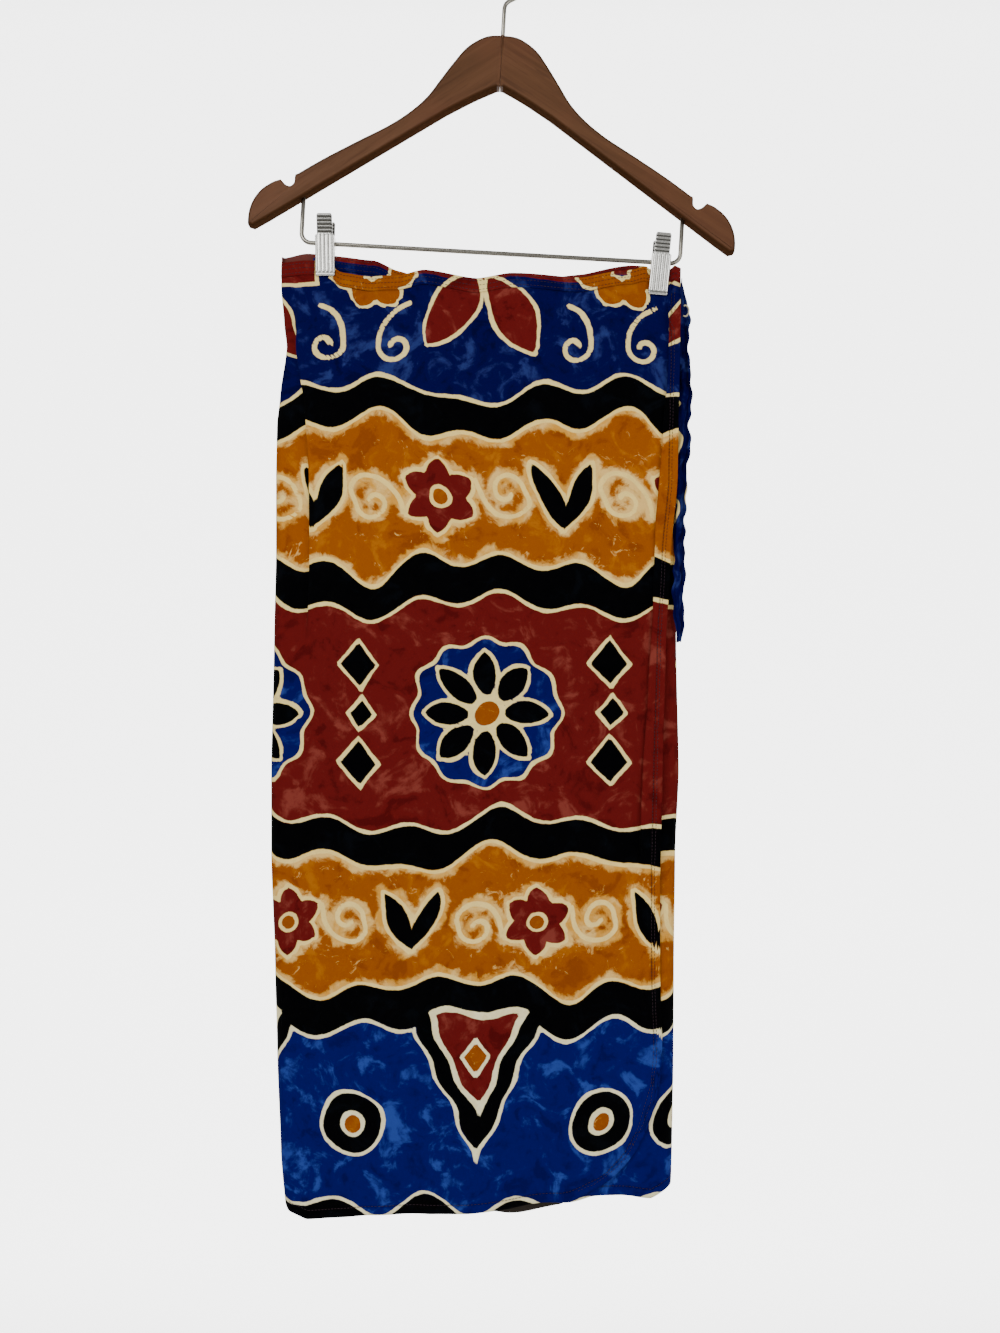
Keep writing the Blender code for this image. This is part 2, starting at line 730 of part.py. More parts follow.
def add_clip(side, x, tilt, frame):
    """Two sprung jaws on the bar, gripping the waistband."""
    place = bpy.data.objects.new(f"{side}_clip", None)
    bpy.context.scene.collection.objects.link(place)
    place.parent = frame
    place.location = Vector((x, 0, BAR_Z)) * MM
    place.rotation_euler = (0, tilt, 0)
    add_jaw(f"clip_{side}_front_jaw", -1, CLIP_FRONT_EAR, place, frame)
    add_jaw(f"clip_{side}_back_jaw", 1, CLIP_BACK_EAR, place, frame)
    built = bmesh.new()
    bmesh.ops.create_cone(
        built, cap_ends=True, segments=20, radius1=SPRING_RADIUS * MM,
        radius2=SPRING_RADIUS * MM, depth=2 * SPRING_HALF_LENGTH * MM,
    )
    name = f"clip_{side}_spring"
    mesh = bpy.data.meshes.new(name)
    built.to_mesh(mesh)
    built.free()
    spring = add_object(name, mesh, CHROME)
    spring.parent = place
    spring.rotation_euler = (0, math.pi / 2, 0)
    cut(spring, cutter(f"{name}_hole", CLIP_BAR_HOLE_RADIUS, (-20, 0, 0), (20, 0, 0), place))


def add_hanger():
    frame = bpy.data.objects.new("hanger", None)
    bpy.context.scene.collection.objects.link(frame)
    frame.rotation_euler = (0, HANGER_TILT, 0)
    add_arm(-1, "hanger_arm_left", frame)
    add_arm(1, "hanger_arm_right", frame)
    add_wire("hanger_hook", hook_route(), HOOK_WIRE_RADIUS, frame)
    add_wire("trouser_bar", bar_route(), BAR_WIRE_RADIUS, frame)
    add_clip("left", CLIP_LEFT_X, -HANGER_TILT, frame)
    add_clip("right", CLIP_RIGHT_X, CLIP_RIGHT_TILT, frame)


for stale in list(bpy.data.objects):
    bpy.data.objects.remove(stale)
add_hanger()
add_skirt()
cloth_wall("waist_tie", tie_rows(), TIE_WALL, BLUE_PRINT)
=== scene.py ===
"""The wrap sarong and its hanger, dressed for a photograph-like view."""

import json
import math
from collections import namedtuple

import bmesh
import bpy
import numpy as np
from mathutils import Matrix, Vector

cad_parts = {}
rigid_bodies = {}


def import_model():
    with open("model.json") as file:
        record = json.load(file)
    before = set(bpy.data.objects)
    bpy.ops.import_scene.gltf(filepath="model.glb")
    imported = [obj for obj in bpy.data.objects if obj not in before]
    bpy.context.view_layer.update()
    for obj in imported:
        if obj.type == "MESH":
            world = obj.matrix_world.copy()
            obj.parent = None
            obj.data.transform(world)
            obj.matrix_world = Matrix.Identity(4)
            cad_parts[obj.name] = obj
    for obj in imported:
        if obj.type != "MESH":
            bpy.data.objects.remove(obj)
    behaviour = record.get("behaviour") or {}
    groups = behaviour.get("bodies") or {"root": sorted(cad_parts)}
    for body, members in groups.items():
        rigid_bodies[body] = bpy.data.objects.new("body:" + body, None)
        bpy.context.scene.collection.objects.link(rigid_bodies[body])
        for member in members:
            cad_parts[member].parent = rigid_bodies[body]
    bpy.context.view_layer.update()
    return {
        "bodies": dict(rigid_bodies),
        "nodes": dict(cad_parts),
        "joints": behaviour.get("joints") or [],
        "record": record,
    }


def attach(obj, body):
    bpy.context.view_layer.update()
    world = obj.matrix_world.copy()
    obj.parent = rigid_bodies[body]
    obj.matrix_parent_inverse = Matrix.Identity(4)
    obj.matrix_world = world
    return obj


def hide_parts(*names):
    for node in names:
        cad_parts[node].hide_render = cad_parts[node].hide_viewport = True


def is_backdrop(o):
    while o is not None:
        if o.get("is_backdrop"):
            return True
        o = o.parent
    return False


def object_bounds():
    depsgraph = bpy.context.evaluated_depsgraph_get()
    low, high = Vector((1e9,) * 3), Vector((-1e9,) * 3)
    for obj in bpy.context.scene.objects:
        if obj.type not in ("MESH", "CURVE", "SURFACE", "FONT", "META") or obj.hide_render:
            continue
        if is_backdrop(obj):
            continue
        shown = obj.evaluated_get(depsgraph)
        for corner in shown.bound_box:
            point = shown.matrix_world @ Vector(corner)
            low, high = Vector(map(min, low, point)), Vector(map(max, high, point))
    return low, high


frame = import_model()

MM = 0.001


def table(columns, *rows):
    """Rows of numbers whose columns have names."""
    row_type = namedtuple("Row", columns)
    return [row_type(*row) for row in rows]


def new_object(name, data):
    made = bpy.data.objects.new(name, data)
    bpy.context.scene.collection.objects.link(made)
    return made


# Camera: straight on, one metre in front of the cloth
camera = new_object("camera", bpy.data.cameras.new("camera"))
camera.location = (-0.0067, -1.0, -0.648)
camera.rotation_euler = (math.pi / 2, 0, 0)
camera.data.lens = 29.6
camera.data.sensor_width = 36.0
camera.data.clip_end = 30.0
bpy.context.scene.camera = camera

# The same sizes and tables as the solids, in millimetres
GAP = 0.3
LAYER_STEP = 2.1
LOOSE_STEP = 1.5
SEAM_RUN = 0.5
FOLD_BEAD = 1.4
BEAD_RUN = 3.0
WAIST_Z = -277.6
BAND_HEIGHT = 13.0
UNDERLAP_INSET = 28.0
CORNER_WIDTH = 73.0
CORNER_HEIGHT = 128.0
REST_LENGTH = 60.0
BEND_RADIUS = 0.85
PINCH_FADE_X = 50.0
PINCH_FADE_DROP = 80.0

SECTIONS = table(
    "drop left right edge side front back cap",
    (-10, -205, 153.6, 158, 2.2, 3.5, 3.5, 3), (26, -205.7, 153.6, 157.5, 2.6, 4, 4, 3.4),
    (58, -203, 153.6, 156.3, 3.4, 4.5, 4.5, 4.2), (80, -200.6, 153.6, 156, 4, 5, 5, 5),
    (125, -206.6, 153.6, 154.6, 4.8, 6, 6, 6), (150, -209.4, 153.6, 154, 5.2, 6.5, 6.5, 7),
    (200, -210.3, 153.6, 153.2, 5.6, 7, 7, 8), (270, -210.3, 153.4, 146.8, 6, 7.5, 7.5, 9),
    (355, -212.1, 153.8, 142.2, 6.4, 8, 8, 9), (465, -214.6, 156.2, 139.2, 6.8, 8.5, 8.5, 9.5),
    (540, -214.6, 152.8, 137.4, 7, 8.5, 8.5, 10), (640, -211.2, 151.6, 137.4, 7.4, 9, 9, 10),
    (720, -209.2, 151.2, 139.6, 7.6, 9.5, 9.5, 10), (810, -205.7, 149.9, 139.6, 7.8, 10, 10, 10),
    (880, -200, 147.6, 139.6, 8, 11, 11, 10),
)
TOP_EDGES = table(
    "x front under back",
    (-206, -4, 4, 3), (-184, -1, 6, 7), (-168, -1, 5, 6), (-150, -12, 3, 4), (-122, -18, -2, 0),
    (-98, -18, -13, -10), (-75, -13, -21, -17), (-28, -19, -25, -21), (2, -15, -25, -21),
    (65, -19, -15, -14), (112, -10, -5, -5), (126, -6, -5, -5), (131, -9.5, -9.5, -9.5),
    (148, -9.5, -9.5, -9.5), (152, -6, -5, -5), (159, -9, -5, -5),
)
HEMS = table(
    "x front under back",
    (-204, 848, 850, 850), (-196, 861, 858, 862), (-180, 867, 860, 868), (-125, 859, 860, 868),
    (-70, 860, 858, 876), (0, 854, 854, 878), (50, 848, 850, 872), (75, 838, 844, 856),
    (100, 838, 846, 850), (128, 838, 850, 850), (150, 838, 839, 840),
)
FRONT_FOLDS = table(
    "x reach waist hem",
    (-172, 26, 0, -2.5), (-128, 30, 2, 3.5), (-78, 26, 3, -3), (-26, 24, -2.5, 4.5),
    (22, 24, 1.5, -3.5), (66, 20, -1, 5), (104, 20, 0.5, -4),
)
BACK_FOLDS = table(
    "x reach waist hem",
    (-160, 30, 0, 3.5), (-104, 30, -1, -4), (-44, 28, 1.5, 5), (14, 26, -2, -3.5), (64, 24, 1, 4.5),
    (116, 24, 0, -3.5),
)
SIDE_TUCK = table(
    "drop line hidden turn",
    (16, -186, 3, 0), (60, -189, 3, 60), (85, -190, 4, 150), (110, -186.5, 6, 180),
    (135, -182, 7, 180), (200, -178.2, 7, 180), (270, -177.6, 5, 180), (300, -177.6, 3, 150),
    (330, -177.8, 2, 60), (352, -177.8, 2, 0),
)
EDGE_PLEAT = table(
    "drop line hidden turn",
    (34, 146.5, 2, 0), (48, 147, 2, 80), (66, 146.8, 4, 180), (94, 145.5, 6, 180),
    (162, 140.2, 10, 180), (199, 137, 12, 180), (244, 133.2, 12, 180), (308, 131.2, 11, 180),
    (400, 125.8, 9, 180), (463, 121.5, 5, 180), (502, 119.8, 1.5, 160), (530, 119.8, 1.2, 80),
    (556, 119.8, 1.2, 0),
)
PINCHES = table("x half_width drop", (-165.6, 11.5, 18), (138, 11.5, 34))

# Finer grids than the solids have
BEND_STEPS = 5
CAP_STEPS = 8
HIDDEN_STEPS = 4
TUCK_RUN_STEPS = 6
MAIN_STEPS = 99
STRIP_STEPS = 6
UNDER_STEPS = 96
BACK_STEPS = 102
BAND_ROWS = 8
CLOTH_ROWS = 316
LEVELS = np.linspace(-40.0, 900.0, 236)


def arc(start, end, steps):
    """The cosine and sine of each angle from start to end, in degrees."""
    angles = [math.radians(start + (end - start) * k / steps) for k in range(steps + 1)]
    return [(math.cos(angle), math.sin(angle)) for angle in angles]


def unit(rows):
    return rows / np.linalg.norm(rows, axis=1)[:, None]


def smooth(share):
    t = np.clip(share, 0.0, 1.0)
    return t * t * (3 - 2 * t)


def read(rows, key, value, column):
    """A column of a table where its key has those values, joined by even curves."""
    keys = np.array([getattr(row, key) for row in rows], float)
    heights = np.array([getattr(row, column) for row in rows], float)
    value = np.clip(np.asarray(value, float), keys[0], keys[-1])
    index = np.clip(np.searchsorted(keys, value, side="right") - 1, 0, len(keys) - 2)
    share = (value - keys[index]) / (keys[index + 1] - keys[index])
    blend = 0.5 * share + 0.5 * smooth(share)
    return heights[index] + (heights[index + 1] - heights[index]) * blend


def section(drop, column):
    return float(read(SECTIONS, "drop", drop, column))


def pinch(x, drop):
    held = np.zeros_like(x)
    for clip in PINCHES:
        across = 1 - smooth((np.abs(x - clip.x) - clip.half_width) / PINCH_FADE_X)
        down = 1 - smooth((drop - clip.drop) / PINCH_FADE_DROP)
        held = np.maximum(held, across * down)
    return held


def swell(x, drop, folds, column):
    left, right = section(drop, "left"), section(drop, "right")
    along = 2 * (x - left) / (right - left) - 1
    dome = np.maximum(0.0, 1 - along ** 4)
    depth = section(drop, "side") + section(drop, column) * dome
    down = smooth(drop / SECTIONS[-1].drop)
    for fold in folds:
        reach = np.exp(-(((x - fold.x) / fold.reach) ** 2))
        depth = depth + (fold.waist + (fold.hem - fold.waist) * down) * reach * dome
    bead = FOLD_BEAD * (1 - smooth((right - x - BEAD_RUN) / BEAD_RUN))
    return np.maximum(0.0, depth) * (1 - pinch(x, drop)) + bead * (1 - down)


def under_y(x, drop):
    return -swell(x, drop, FRONT_FOLDS, "front")


def outer_y(x, drop):
    return under_y(x, drop) - LAYER_STEP - LOOSE_STEP * (1 - pinch(x, drop))


def back_y(x, drop):
    return LAYER_STEP + swell(x, drop, BACK_FOLDS, "back")


def cap(tip, side, near, far, drop):
    """A rounded side as rows of (x, y), between the layer near and its seam with the layer far.

    side is -1 on the left, where the rows start at the seam, and 1 on the right.
    """
    reach = section(drop, "cap")
    at = np.array([tip - side * reach])
    near_y, far_y = near(at, drop)[0], far(at, drop)[0]
    inward = 1 if far_y > near_y else -1
    seam_y = (near_y + far_y) / 2 - inward * GAP / 2
    bend = seam_y - inward * SEAM_RUN - near_y
    angle = np.linspace(0, math.pi / 2, CAP_STEPS + 1)
    x = tip + side * reach * (np.sin(angle) - 1)
    points = np.stack([x, near_y + bend * (1 - np.cos(angle))], 1)
    return np.vstack([points, [[tip, seam_y]]])[::side]


def pleat_points(drop, pleats):
    """A pleat as points of (x, height), folded back on itself by its turn."""
    line, hidden, degrees = (float(read(pleats, "drop", drop, c)) for c in ("line", "hidden", "turn"))
    turn = math.radians(degrees)
    step = math.pi * BEND_RADIUS / BEND_STEPS
    points = [(0.0, 0.0)]

    def forward(length, heading):
        x, height = points[-1]
        points.append((x + length * math.cos(heading), height + length * math.sin(heading)))

    for k in range(BEND_STEPS):
        forward(step, turn * (k + 0.5) / BEND_STEPS)
    for k in range(HIDDEN_STEPS):
        forward(hidden / HIDDEN_STEPS, turn)
    for k in range(BEND_STEPS):
        forward(step, turn * (1 - (k + 0.5) / BEND_STEPS))
    points = np.array(points)
    points[:, 0] += line + BEND_RADIUS - points[-1, 0]
    return points


def front_path(drop, pleated=True):
    left, edge = section(drop, "left"), section(drop, "edge")
    start = left + section(drop, "cap")
    tuck = pleat_points(drop if pleated else SIDE_TUCK[0].drop, SIDE_TUCK)
    fold = pleat_points(drop if pleated else EDGE_PLEAT[0].drop, EDGE_PLEAT)
    side_x = np.linspace(start, tuck[0, 0], TUCK_RUN_STEPS + 1)[1:-1]
    main_x = np.linspace(tuck[-1, 0], fold[0, 0], MAIN_STEPS + 1)[1:-1]
    rest = 1 - smooth((main_x - tuck[-1, 0]) / REST_LENGTH)
    share = np.sin(math.pi / 2 * np.arange(1, STRIP_STEPS + 1) / STRIP_STEPS)
    strip_x = fold[-1, 0] + (edge - fold[-1, 0]) * share
    runs = np.vstack([
        np.stack([side_x, 0 * side_x], 1),
        tuck,
        np.stack([main_x, tuck[-1, 1] * rest], 1),
        fold,
        np.stack([strip_x, 0 * strip_x + fold[-1, 1]], 1),
    ])
    runs[:, 1] = outer_y(runs[:, 0], drop) - runs[:, 1]
    return np.vstack([cap(left, -1, outer_y, back_y, drop), runs])


def under_path(drop):
    start, right = section(drop, "left") + UNDERLAP_INSET, section(drop, "right")
    x = np.linspace(start, right - section(drop, "cap") - BEAD_RUN, UNDER_STEPS + 1)
    return np.vstack([np.stack([x, under_y(x, drop)], 1), cap(right, 1, under_y, back_y, drop)])


def back_path(drop):
    left, right, reach = section(drop, "left"), section(drop, "right"), section(drop, "cap")
    x = np.linspace(left + reach, right - reach - BEAD_RUN, BACK_STEPS + 1)[1:]
    run = np.stack([x, back_y(x, drop)], 1)
    return np.vstack([cap(left, -1, back_y, outer_y, drop), run, cap(right, 1, back_y, under_y, drop)])


def band_path(drop):
    return front_path(drop, pleated=False)


def top_drop(x, layer):
    return -read(TOP_EDGES, "x", x, layer)


def hem_drop(x, layer):
    length = read(HEMS, "x", x, layer)
    if layer == "front":
        share = np.clip((x - (SECTIONS[-1].edge - CORNER_WIDTH)) / CORNER_WIDTH, 0.0, 1.0)
        length = length - CORNER_HEIGHT * (1 - np.sqrt(1 - share * share))
    return length


def lengths(path):
    """The length of each step of a path."""
    return np.hypot(*np.diff(path, axis=0).T)


def seam_marks():
    """Cloth length of the left and right seams at each level, from the middle of the front."""
    left, right = [], []
    for drop in LEVELS:
        path = front_path(drop)
        middle = np.argmin(np.abs(path[:, 0]))
        left.append(path[middle, 0] - lengths(path)[:middle].sum())
        right.append(left[-1] - lengths(back_path(drop)).sum())
    return np.array(left), np.array(right)


SEAM_LEFT, SEAM_RIGHT = seam_marks()


def cloth_grid(path, layer, top_offset, rows, bottom=None):
    """Points, and the flat place of each on the cloth, in rows from top to hem."""
    lines = np.array([path(drop) for drop in LEVELS])
    arcs = np.zeros(lines.shape[:2])
    arcs[:, 1:] = np.cumsum(np.hypot(*np.moveaxis(np.diff(lines, axis=1), 2, 0)), axis=1)
    if layer == "front":
        flat = SEAM_LEFT[:, None] + arcs
    elif layer == "back":
        flat = SEAM_LEFT[:, None] - arcs
    else:
        flat = SEAM_RIGHT[:, None] - (arcs[:, -1:] - arcs)
    at_top, at_hem = path(20.0)[:, 0], path(SECTIONS[-1].drop)[:, 0]
    starts = top_drop(at_top, layer) + top_offset
    ends = hem_drop(at_hem, layer) if bottom is None else top_drop(at_top, layer) + bottom
    drops = starts + (ends - starts) * np.linspace(0, 1, rows + 1)[:, None]
    place = (drops - LEVELS[0]) / (LEVELS[1] - LEVELS[0])
    low = np.clip(place.astype(int), 0, len(LEVELS) - 2)
    share = place - low
    column = np.arange(len(at_top))

    def between(values):
        return values[low, column] * (1 - share) + values[low + 1, column] * share

    x, y, u = between(lines[:, :, 0]), between(lines[:, :, 1]), between(flat)
    return np.stack([x, y, WAIST_Z - drops], 2), u, drops


def smooth_line(points, per_span):
    """An even curve through points, sampled per_span times between each pair."""
    points = np.array([points[0], *points, points[-1]], float)
    t = (np.arange(per_span) / per_span)[:, None]
    line = []
    for a, b, c, d in zip(points, points[1:], points[2:], points[3:]):
        line.append(
            b + t * (c - a) / 2 + t * t * (2 * a - 5 * b + 4 * c - d) / 2
            + t ** 3 * (3 * b - 3 * c + d - a) / 2
        )
    return np.vstack([*line, points[-1:]])


def wave(u, period, *terms):
    """A sum of sine terms, each (times per period, height, place of its crest)."""
    total = 0.0
    for times, height, crest in terms:
        total = total + height * np.cos(2 * math.pi * times * (u - crest) / period)
    return total


# Print, in millimetres of flat cloth. u runs along the waist and repeats,
# v runs down from the waist. Every field is a distance, negative inside.
REPEAT = 225.0
LINE_WIDTH = 3.2
TURNED_EDGE = 8.0
WEAVE_SCALE = 2600.0
FAR = 1e3
FIELD_LIMIT = 40.0


def nearest(u, centre):
    """Distance along the cloth from the nearest repeat of centre."""
    return (u - centre + REPEAT / 2) % REPEAT - REPEAT / 2


def turned(x, y, degrees):
    c, s = math.cos(math.radians(degrees)), math.sin(math.radians(degrees))
    return x * c + y * s, y * c - x * s


def leaf(x, y, half_length, half_width):
    """A pointed leaf along x: the overlap of two equal circles."""
    radius = (half_length ** 2 + half_width ** 2) / (2 * half_width)
    body = np.hypot(x, np.abs(y) + radius - half_width) - radius
    tip = np.hypot(np.abs(x) - half_length, y)
    return np.where((body > 0) & (np.abs(x) > half_length), tip, body)


def ring(x, y, radius):
    return np.hypot(x, y) - radius


def petals(x, y, count, inner, outer, half_width, start=0.0):
    """Leaf-shaped petals set round a centre."""
    step = 2 * math.pi / count
    angle = np.arctan2(y, x) - math.radians(start)
    angle = (angle + step / 2) % step - step / 2
    radius = np.hypot(x, y)
    middle = (inner + outer) / 2
    return leaf(radius * np.cos(angle) - middle, radius * np.sin(angle), (outer - inner) / 2, half_width)


def stroke(x, y, points):
    """Distance from a smooth line through points."""
    best = np.full(np.shape(x), FAR)
    line = smooth_line(points, 5)
    for (ax, ay), (dx, dy) in zip(line, np.diff(line, axis=0)):
        t = np.clip(((x - ax) * dx + (y - ay) * dy) / (dx * dx + dy * dy), 0, 1)
        best = np.minimum(best, np.hypot(x - ax - t * dx, y - ay - t * dy))
    return best


def curl(size, turns, start=0.0, side=1):
    """Points of a spiral that winds inwards, from the angle start."""
    points = []
    for t in np.linspace(0, 1, 12):
        angle = math.radians(start) + side * 2 * math.pi * turns * t
        radius = size * (1 - 0.7 * t)
        points.append((radius * math.cos(angle), radius * math.sin(angle)))
    return points


DIVIDERS = table(
    "middle thick terms",
    (139, 31, ((1, 9, -22), (3, 6.5, -4), (2, 3, 66))),
    (297, 33, ((1, 8, 90), (3, 6.5, 30), (2, 3, -10))),
    (526, 30, ((1, 8, -100), (3, 5, 22), (2, 4, 40))),
    (672, 32, ((1, 7, 70), (3, 5.5, -20), (2, 4, -70))),
)
HEM_LINE = 853.0
HEM_HUMPS = ((2, 4, 94), (3, 6, 112))

# Where the motifs stand on the cloth
LEAVES = table("u v angle", (-50, 46, 122), (4, 52, 60))
WAIST_BLOSSOM = (104, 8)
TENDRILS = table("u side", (-163, 1), (-100, -1))
TENDRIL_V = 82
TENDRIL_STEM = [(-9, -38), (3, -31), (13, -16)]
BLOSSOMS = table("v scale u", (218, 1.0, -62), (599, 0.9, 26))
DARK_LEAVES = table("angle offset", (64, -13), (116, 13))
VINE_STEM = [(-27, -12), (-21, 7), (-8, 21), (9, 23), (20, 12)]
MEDALLION = (-20, 412)
LOZENGE_U = 92.5
LOZENGES = table("offset size", (-44, 20), (0, 13), (44, 20))
POINT = (-28, 686)
POINT_HALF_WIDTH = 60
POINT_HEIGHT = 118
POINT_BORDER = 17
POINT_EYE_V = 718
RING = (84.5, 778)


def print_fields(u, v, bare=False):
    """The distances to the printed zones, to the shapes in them, and to the loose lines.

    Blossoms and medallions are left out where bare is true.
    """
    # A hand's slight wander of every line
    drawn_u = u + wave(v, 90, (1, 1.6, 0), (2, 0.6, 20)) + wave(u, 61, (1, 0.6, 11))
    drawn_v = v + wave(u, 83, (1, 1.3, 5)) + wave(v, 47, (1, 0.6, 9))
    u, v = drawn_u, drawn_v
    fields = {name: np.full(u.shape, FAR) for name in ("black", "rust", "ochre", "medallion", "loose")}

    def add(name, distance):
        fields[name] = np.minimum(fields[name], distance)

    middles = [d.middle + wave(u, REPEAT, *d.terms) for d in DIVIDERS]
    for divider, middle in zip(DIVIDERS, middles):
        half = divider.thick / 2 + wave(u, REPEAT, (2, 1.8, divider.middle % 50), (3, 1.2, 0))
        add("black", (np.abs(v - middle) - half) * 0.9)
    add("black", (HEM_LINE + wave(u, REPEAT, *HEM_HUMPS) - v) * 0.92)
    gold = np.minimum(np.maximum(middles[0] - v, v - middles[1]), np.maximum(middles[2] - v, v - middles[3]))
    red = np.maximum(middles[1] - v, v - middles[2])

    # Upper field: pairs of brick leaves, an ochre blossom under the band, and tendrils
    for row in LEAVES:
        add("rust", leaf(*turned(nearest(u, row.u), v - row.v, row.angle), 42, 18))
    add("ochre", petals(nearest(u, WAIST_BLOSSOM[0]), v - WAIST_BLOSSOM[1], 7, 9, 39, 12, 13))
    for row in TENDRILS:
        tendril = stroke(nearest(u, row.u) * row.side, v - TENDRIL_V, TENDRIL_STEM + curl(15, 0.95))
        add("loose", tendril - 2.35)

    # Brick patches at both ends of the front's waist
    add("rust", np.maximum(v - 21, np.abs(u + 208) - 33))
    add("rust", np.maximum((v - 14.5 - (u - 144) * 0.6) * 0.85, np.abs(u - 152) - 19))

    # Ochre fields: brick blossoms between pairs of black leaves, with curling vines
    for row in BLOSSOMS:
        scale = row.scale
        x, y = np.where(bare, REPEAT, nearest(u, row.u) / scale), (v - row.v) / scale
        add("rust", petals(x, y, 6, 0, 34, 11, 30) * scale)
        add("ochre", ring(x, y, 7) * scale)
        for pair in DARK_LEAVES:
            x = nearest(u, row.u + REPEAT / 2) / scale - pair.offset
            add("black", leaf(*turned(x, y, pair.angle), 33, 9.5) * scale)
        for side in (-1, 1):
            x = nearest(u, row.u + side * 60 * scale) / scale * side
            vine = stroke(x, (y + side * 4) * side, VINE_STEM + curl(17, 0.9, 0, -1))
            add("loose", vine * scale - 2.15)

    # Brick field: lobed blue medallions between stacked lozenges
    x, y = np.where(bare, REPEAT, nearest(u, MEDALLION[0])), v - MEDALLION[1]
    add("medallion", ring(x, y, 64 + 2.6 * np.cos(12 * np.arctan2(y, x))))
    add("black", np.maximum(petals(x, y, 8, 14, 56, 10.4), -ring(x, y, 16.5)))
    add("ochre", ring(x, y, 11))
    add("loose", np.abs(ring(x, y, 13.8)) - 2.7)
    for row in LOZENGES:
        add("black", (np.abs(nearest(u, LOZENGE_U)) * 1.2 + np.abs(y - row.offset) - row.size) * 0.66)

    # Lower field: hanging brick points with a broad black border, and dotted rings
    x, y = nearest(u, POINT[0]), v - POINT[1]
    border = np.abs(x) * POINT_HEIGHT - POINT_HALF_WIDTH * (POINT_HEIGHT - y)
    border = border / math.hypot(POINT_HALF_WIDTH, POINT_HEIGHT) + 1.6 * np.cos(y / 6)
    inner = np.maximum(border + POINT_BORDER, middles[3] + 14 - v)
    add("rust", inner)
    add("black", np.maximum(border, middles[3] - v))
    fields["black"] = np.maximum(fields["black"], 1.0 - inner)
    add("ochre", np.abs(x) * 0.8 + np.abs(v - POINT_EYE_V) * 0.6 - 8)
    x, y = nearest(u, RING[0]), v - RING[1]
    add("black", np.abs(ring(x, y, 18.5)) - 8)
    add("ochre", ring(x, y, 8.5))
    return {"gold_zone": gold, "red_zone": red, **fields}


def faces_of(rows, columns, outward):
    """Quads of a grid. outward is -1 when its printed side faces the front."""
    corner = (np.arange(rows)[:, None] * (columns + 1) + np.arange(columns)[None, :]).ravel()
    beside, below = corner + 1, corner + columns + 1
    if outward < 0:
        return np.stack([corner, below, below + 1, beside], 1)
    return np.stack([corner, beside, below + 1, below], 1)


def edge_distance(u, v, edges):
    """Distance on the flat cloth from each point to its cut edges."""
    near = np.full(u.size, FAR)
    for line_u, line_v in edges:
        line = np.stack([line_u, line_v], 1)[::2]
        for chunk in np.array_split(np.arange(u.size), 24):
            gap_u = u.ravel()[chunk, None] - line[None, :, 0]
            gap_v = v.ravel()[chunk, None] - line[None, :, 1]
            near[chunk] = np.minimum(near[chunk], np.sqrt((gap_u ** 2 + gap_v ** 2).min(axis=1)))
    return near


def store(mesh, name, values):
    """Write down a number for each point of a mesh."""
    attribute = mesh.attributes.new(name, "FLOAT", "POINT")
    attribute.data.foreach_set("value", np.asarray(values, np.float32).ravel())


def grid_mesh(name, points, u, v, outward, turned=FAR, strip=FAR, bare=False):
    """The mesh of a grid, with its flat place and its print."""
    quads = faces_of(points.shape[0] - 1, points.shape[1] - 1, outward)
    mesh = bpy.data.meshes.new(name)
    mesh.from_pydata((points.reshape(-1, 3) * MM).tolist(), [], quads.tolist())
    order = quads.ravel()
    flat = np.stack([u.ravel()[order] * MM, -v.ravel()[order] * MM], 1)
    mesh.uv_layers.new(name="cloth").data.foreach_set("uv", flat.ravel())
    fields = print_fields(u, v, bare)
    fields["red_zone"] = np.minimum(fields["red_zone"], strip)
    for field, values in fields.items():
        store(mesh, field, np.clip(values, -FIELD_LIMIT, FIELD_LIMIT))
    store(mesh, "turned", np.minimum(turned, np.full(u.size, FIELD_LIMIT)))
    mesh.shade_smooth()
    return mesh


def linear(levels):
    """The linear colour of display levels from 0 to 255."""
    out = []
    for level in levels:
        c = level / 255
        out.append(c / 12.92 if c <= 0.04045 else ((c + 0.055) / 1.055) ** 2.4)
    return (*out, 1.0)


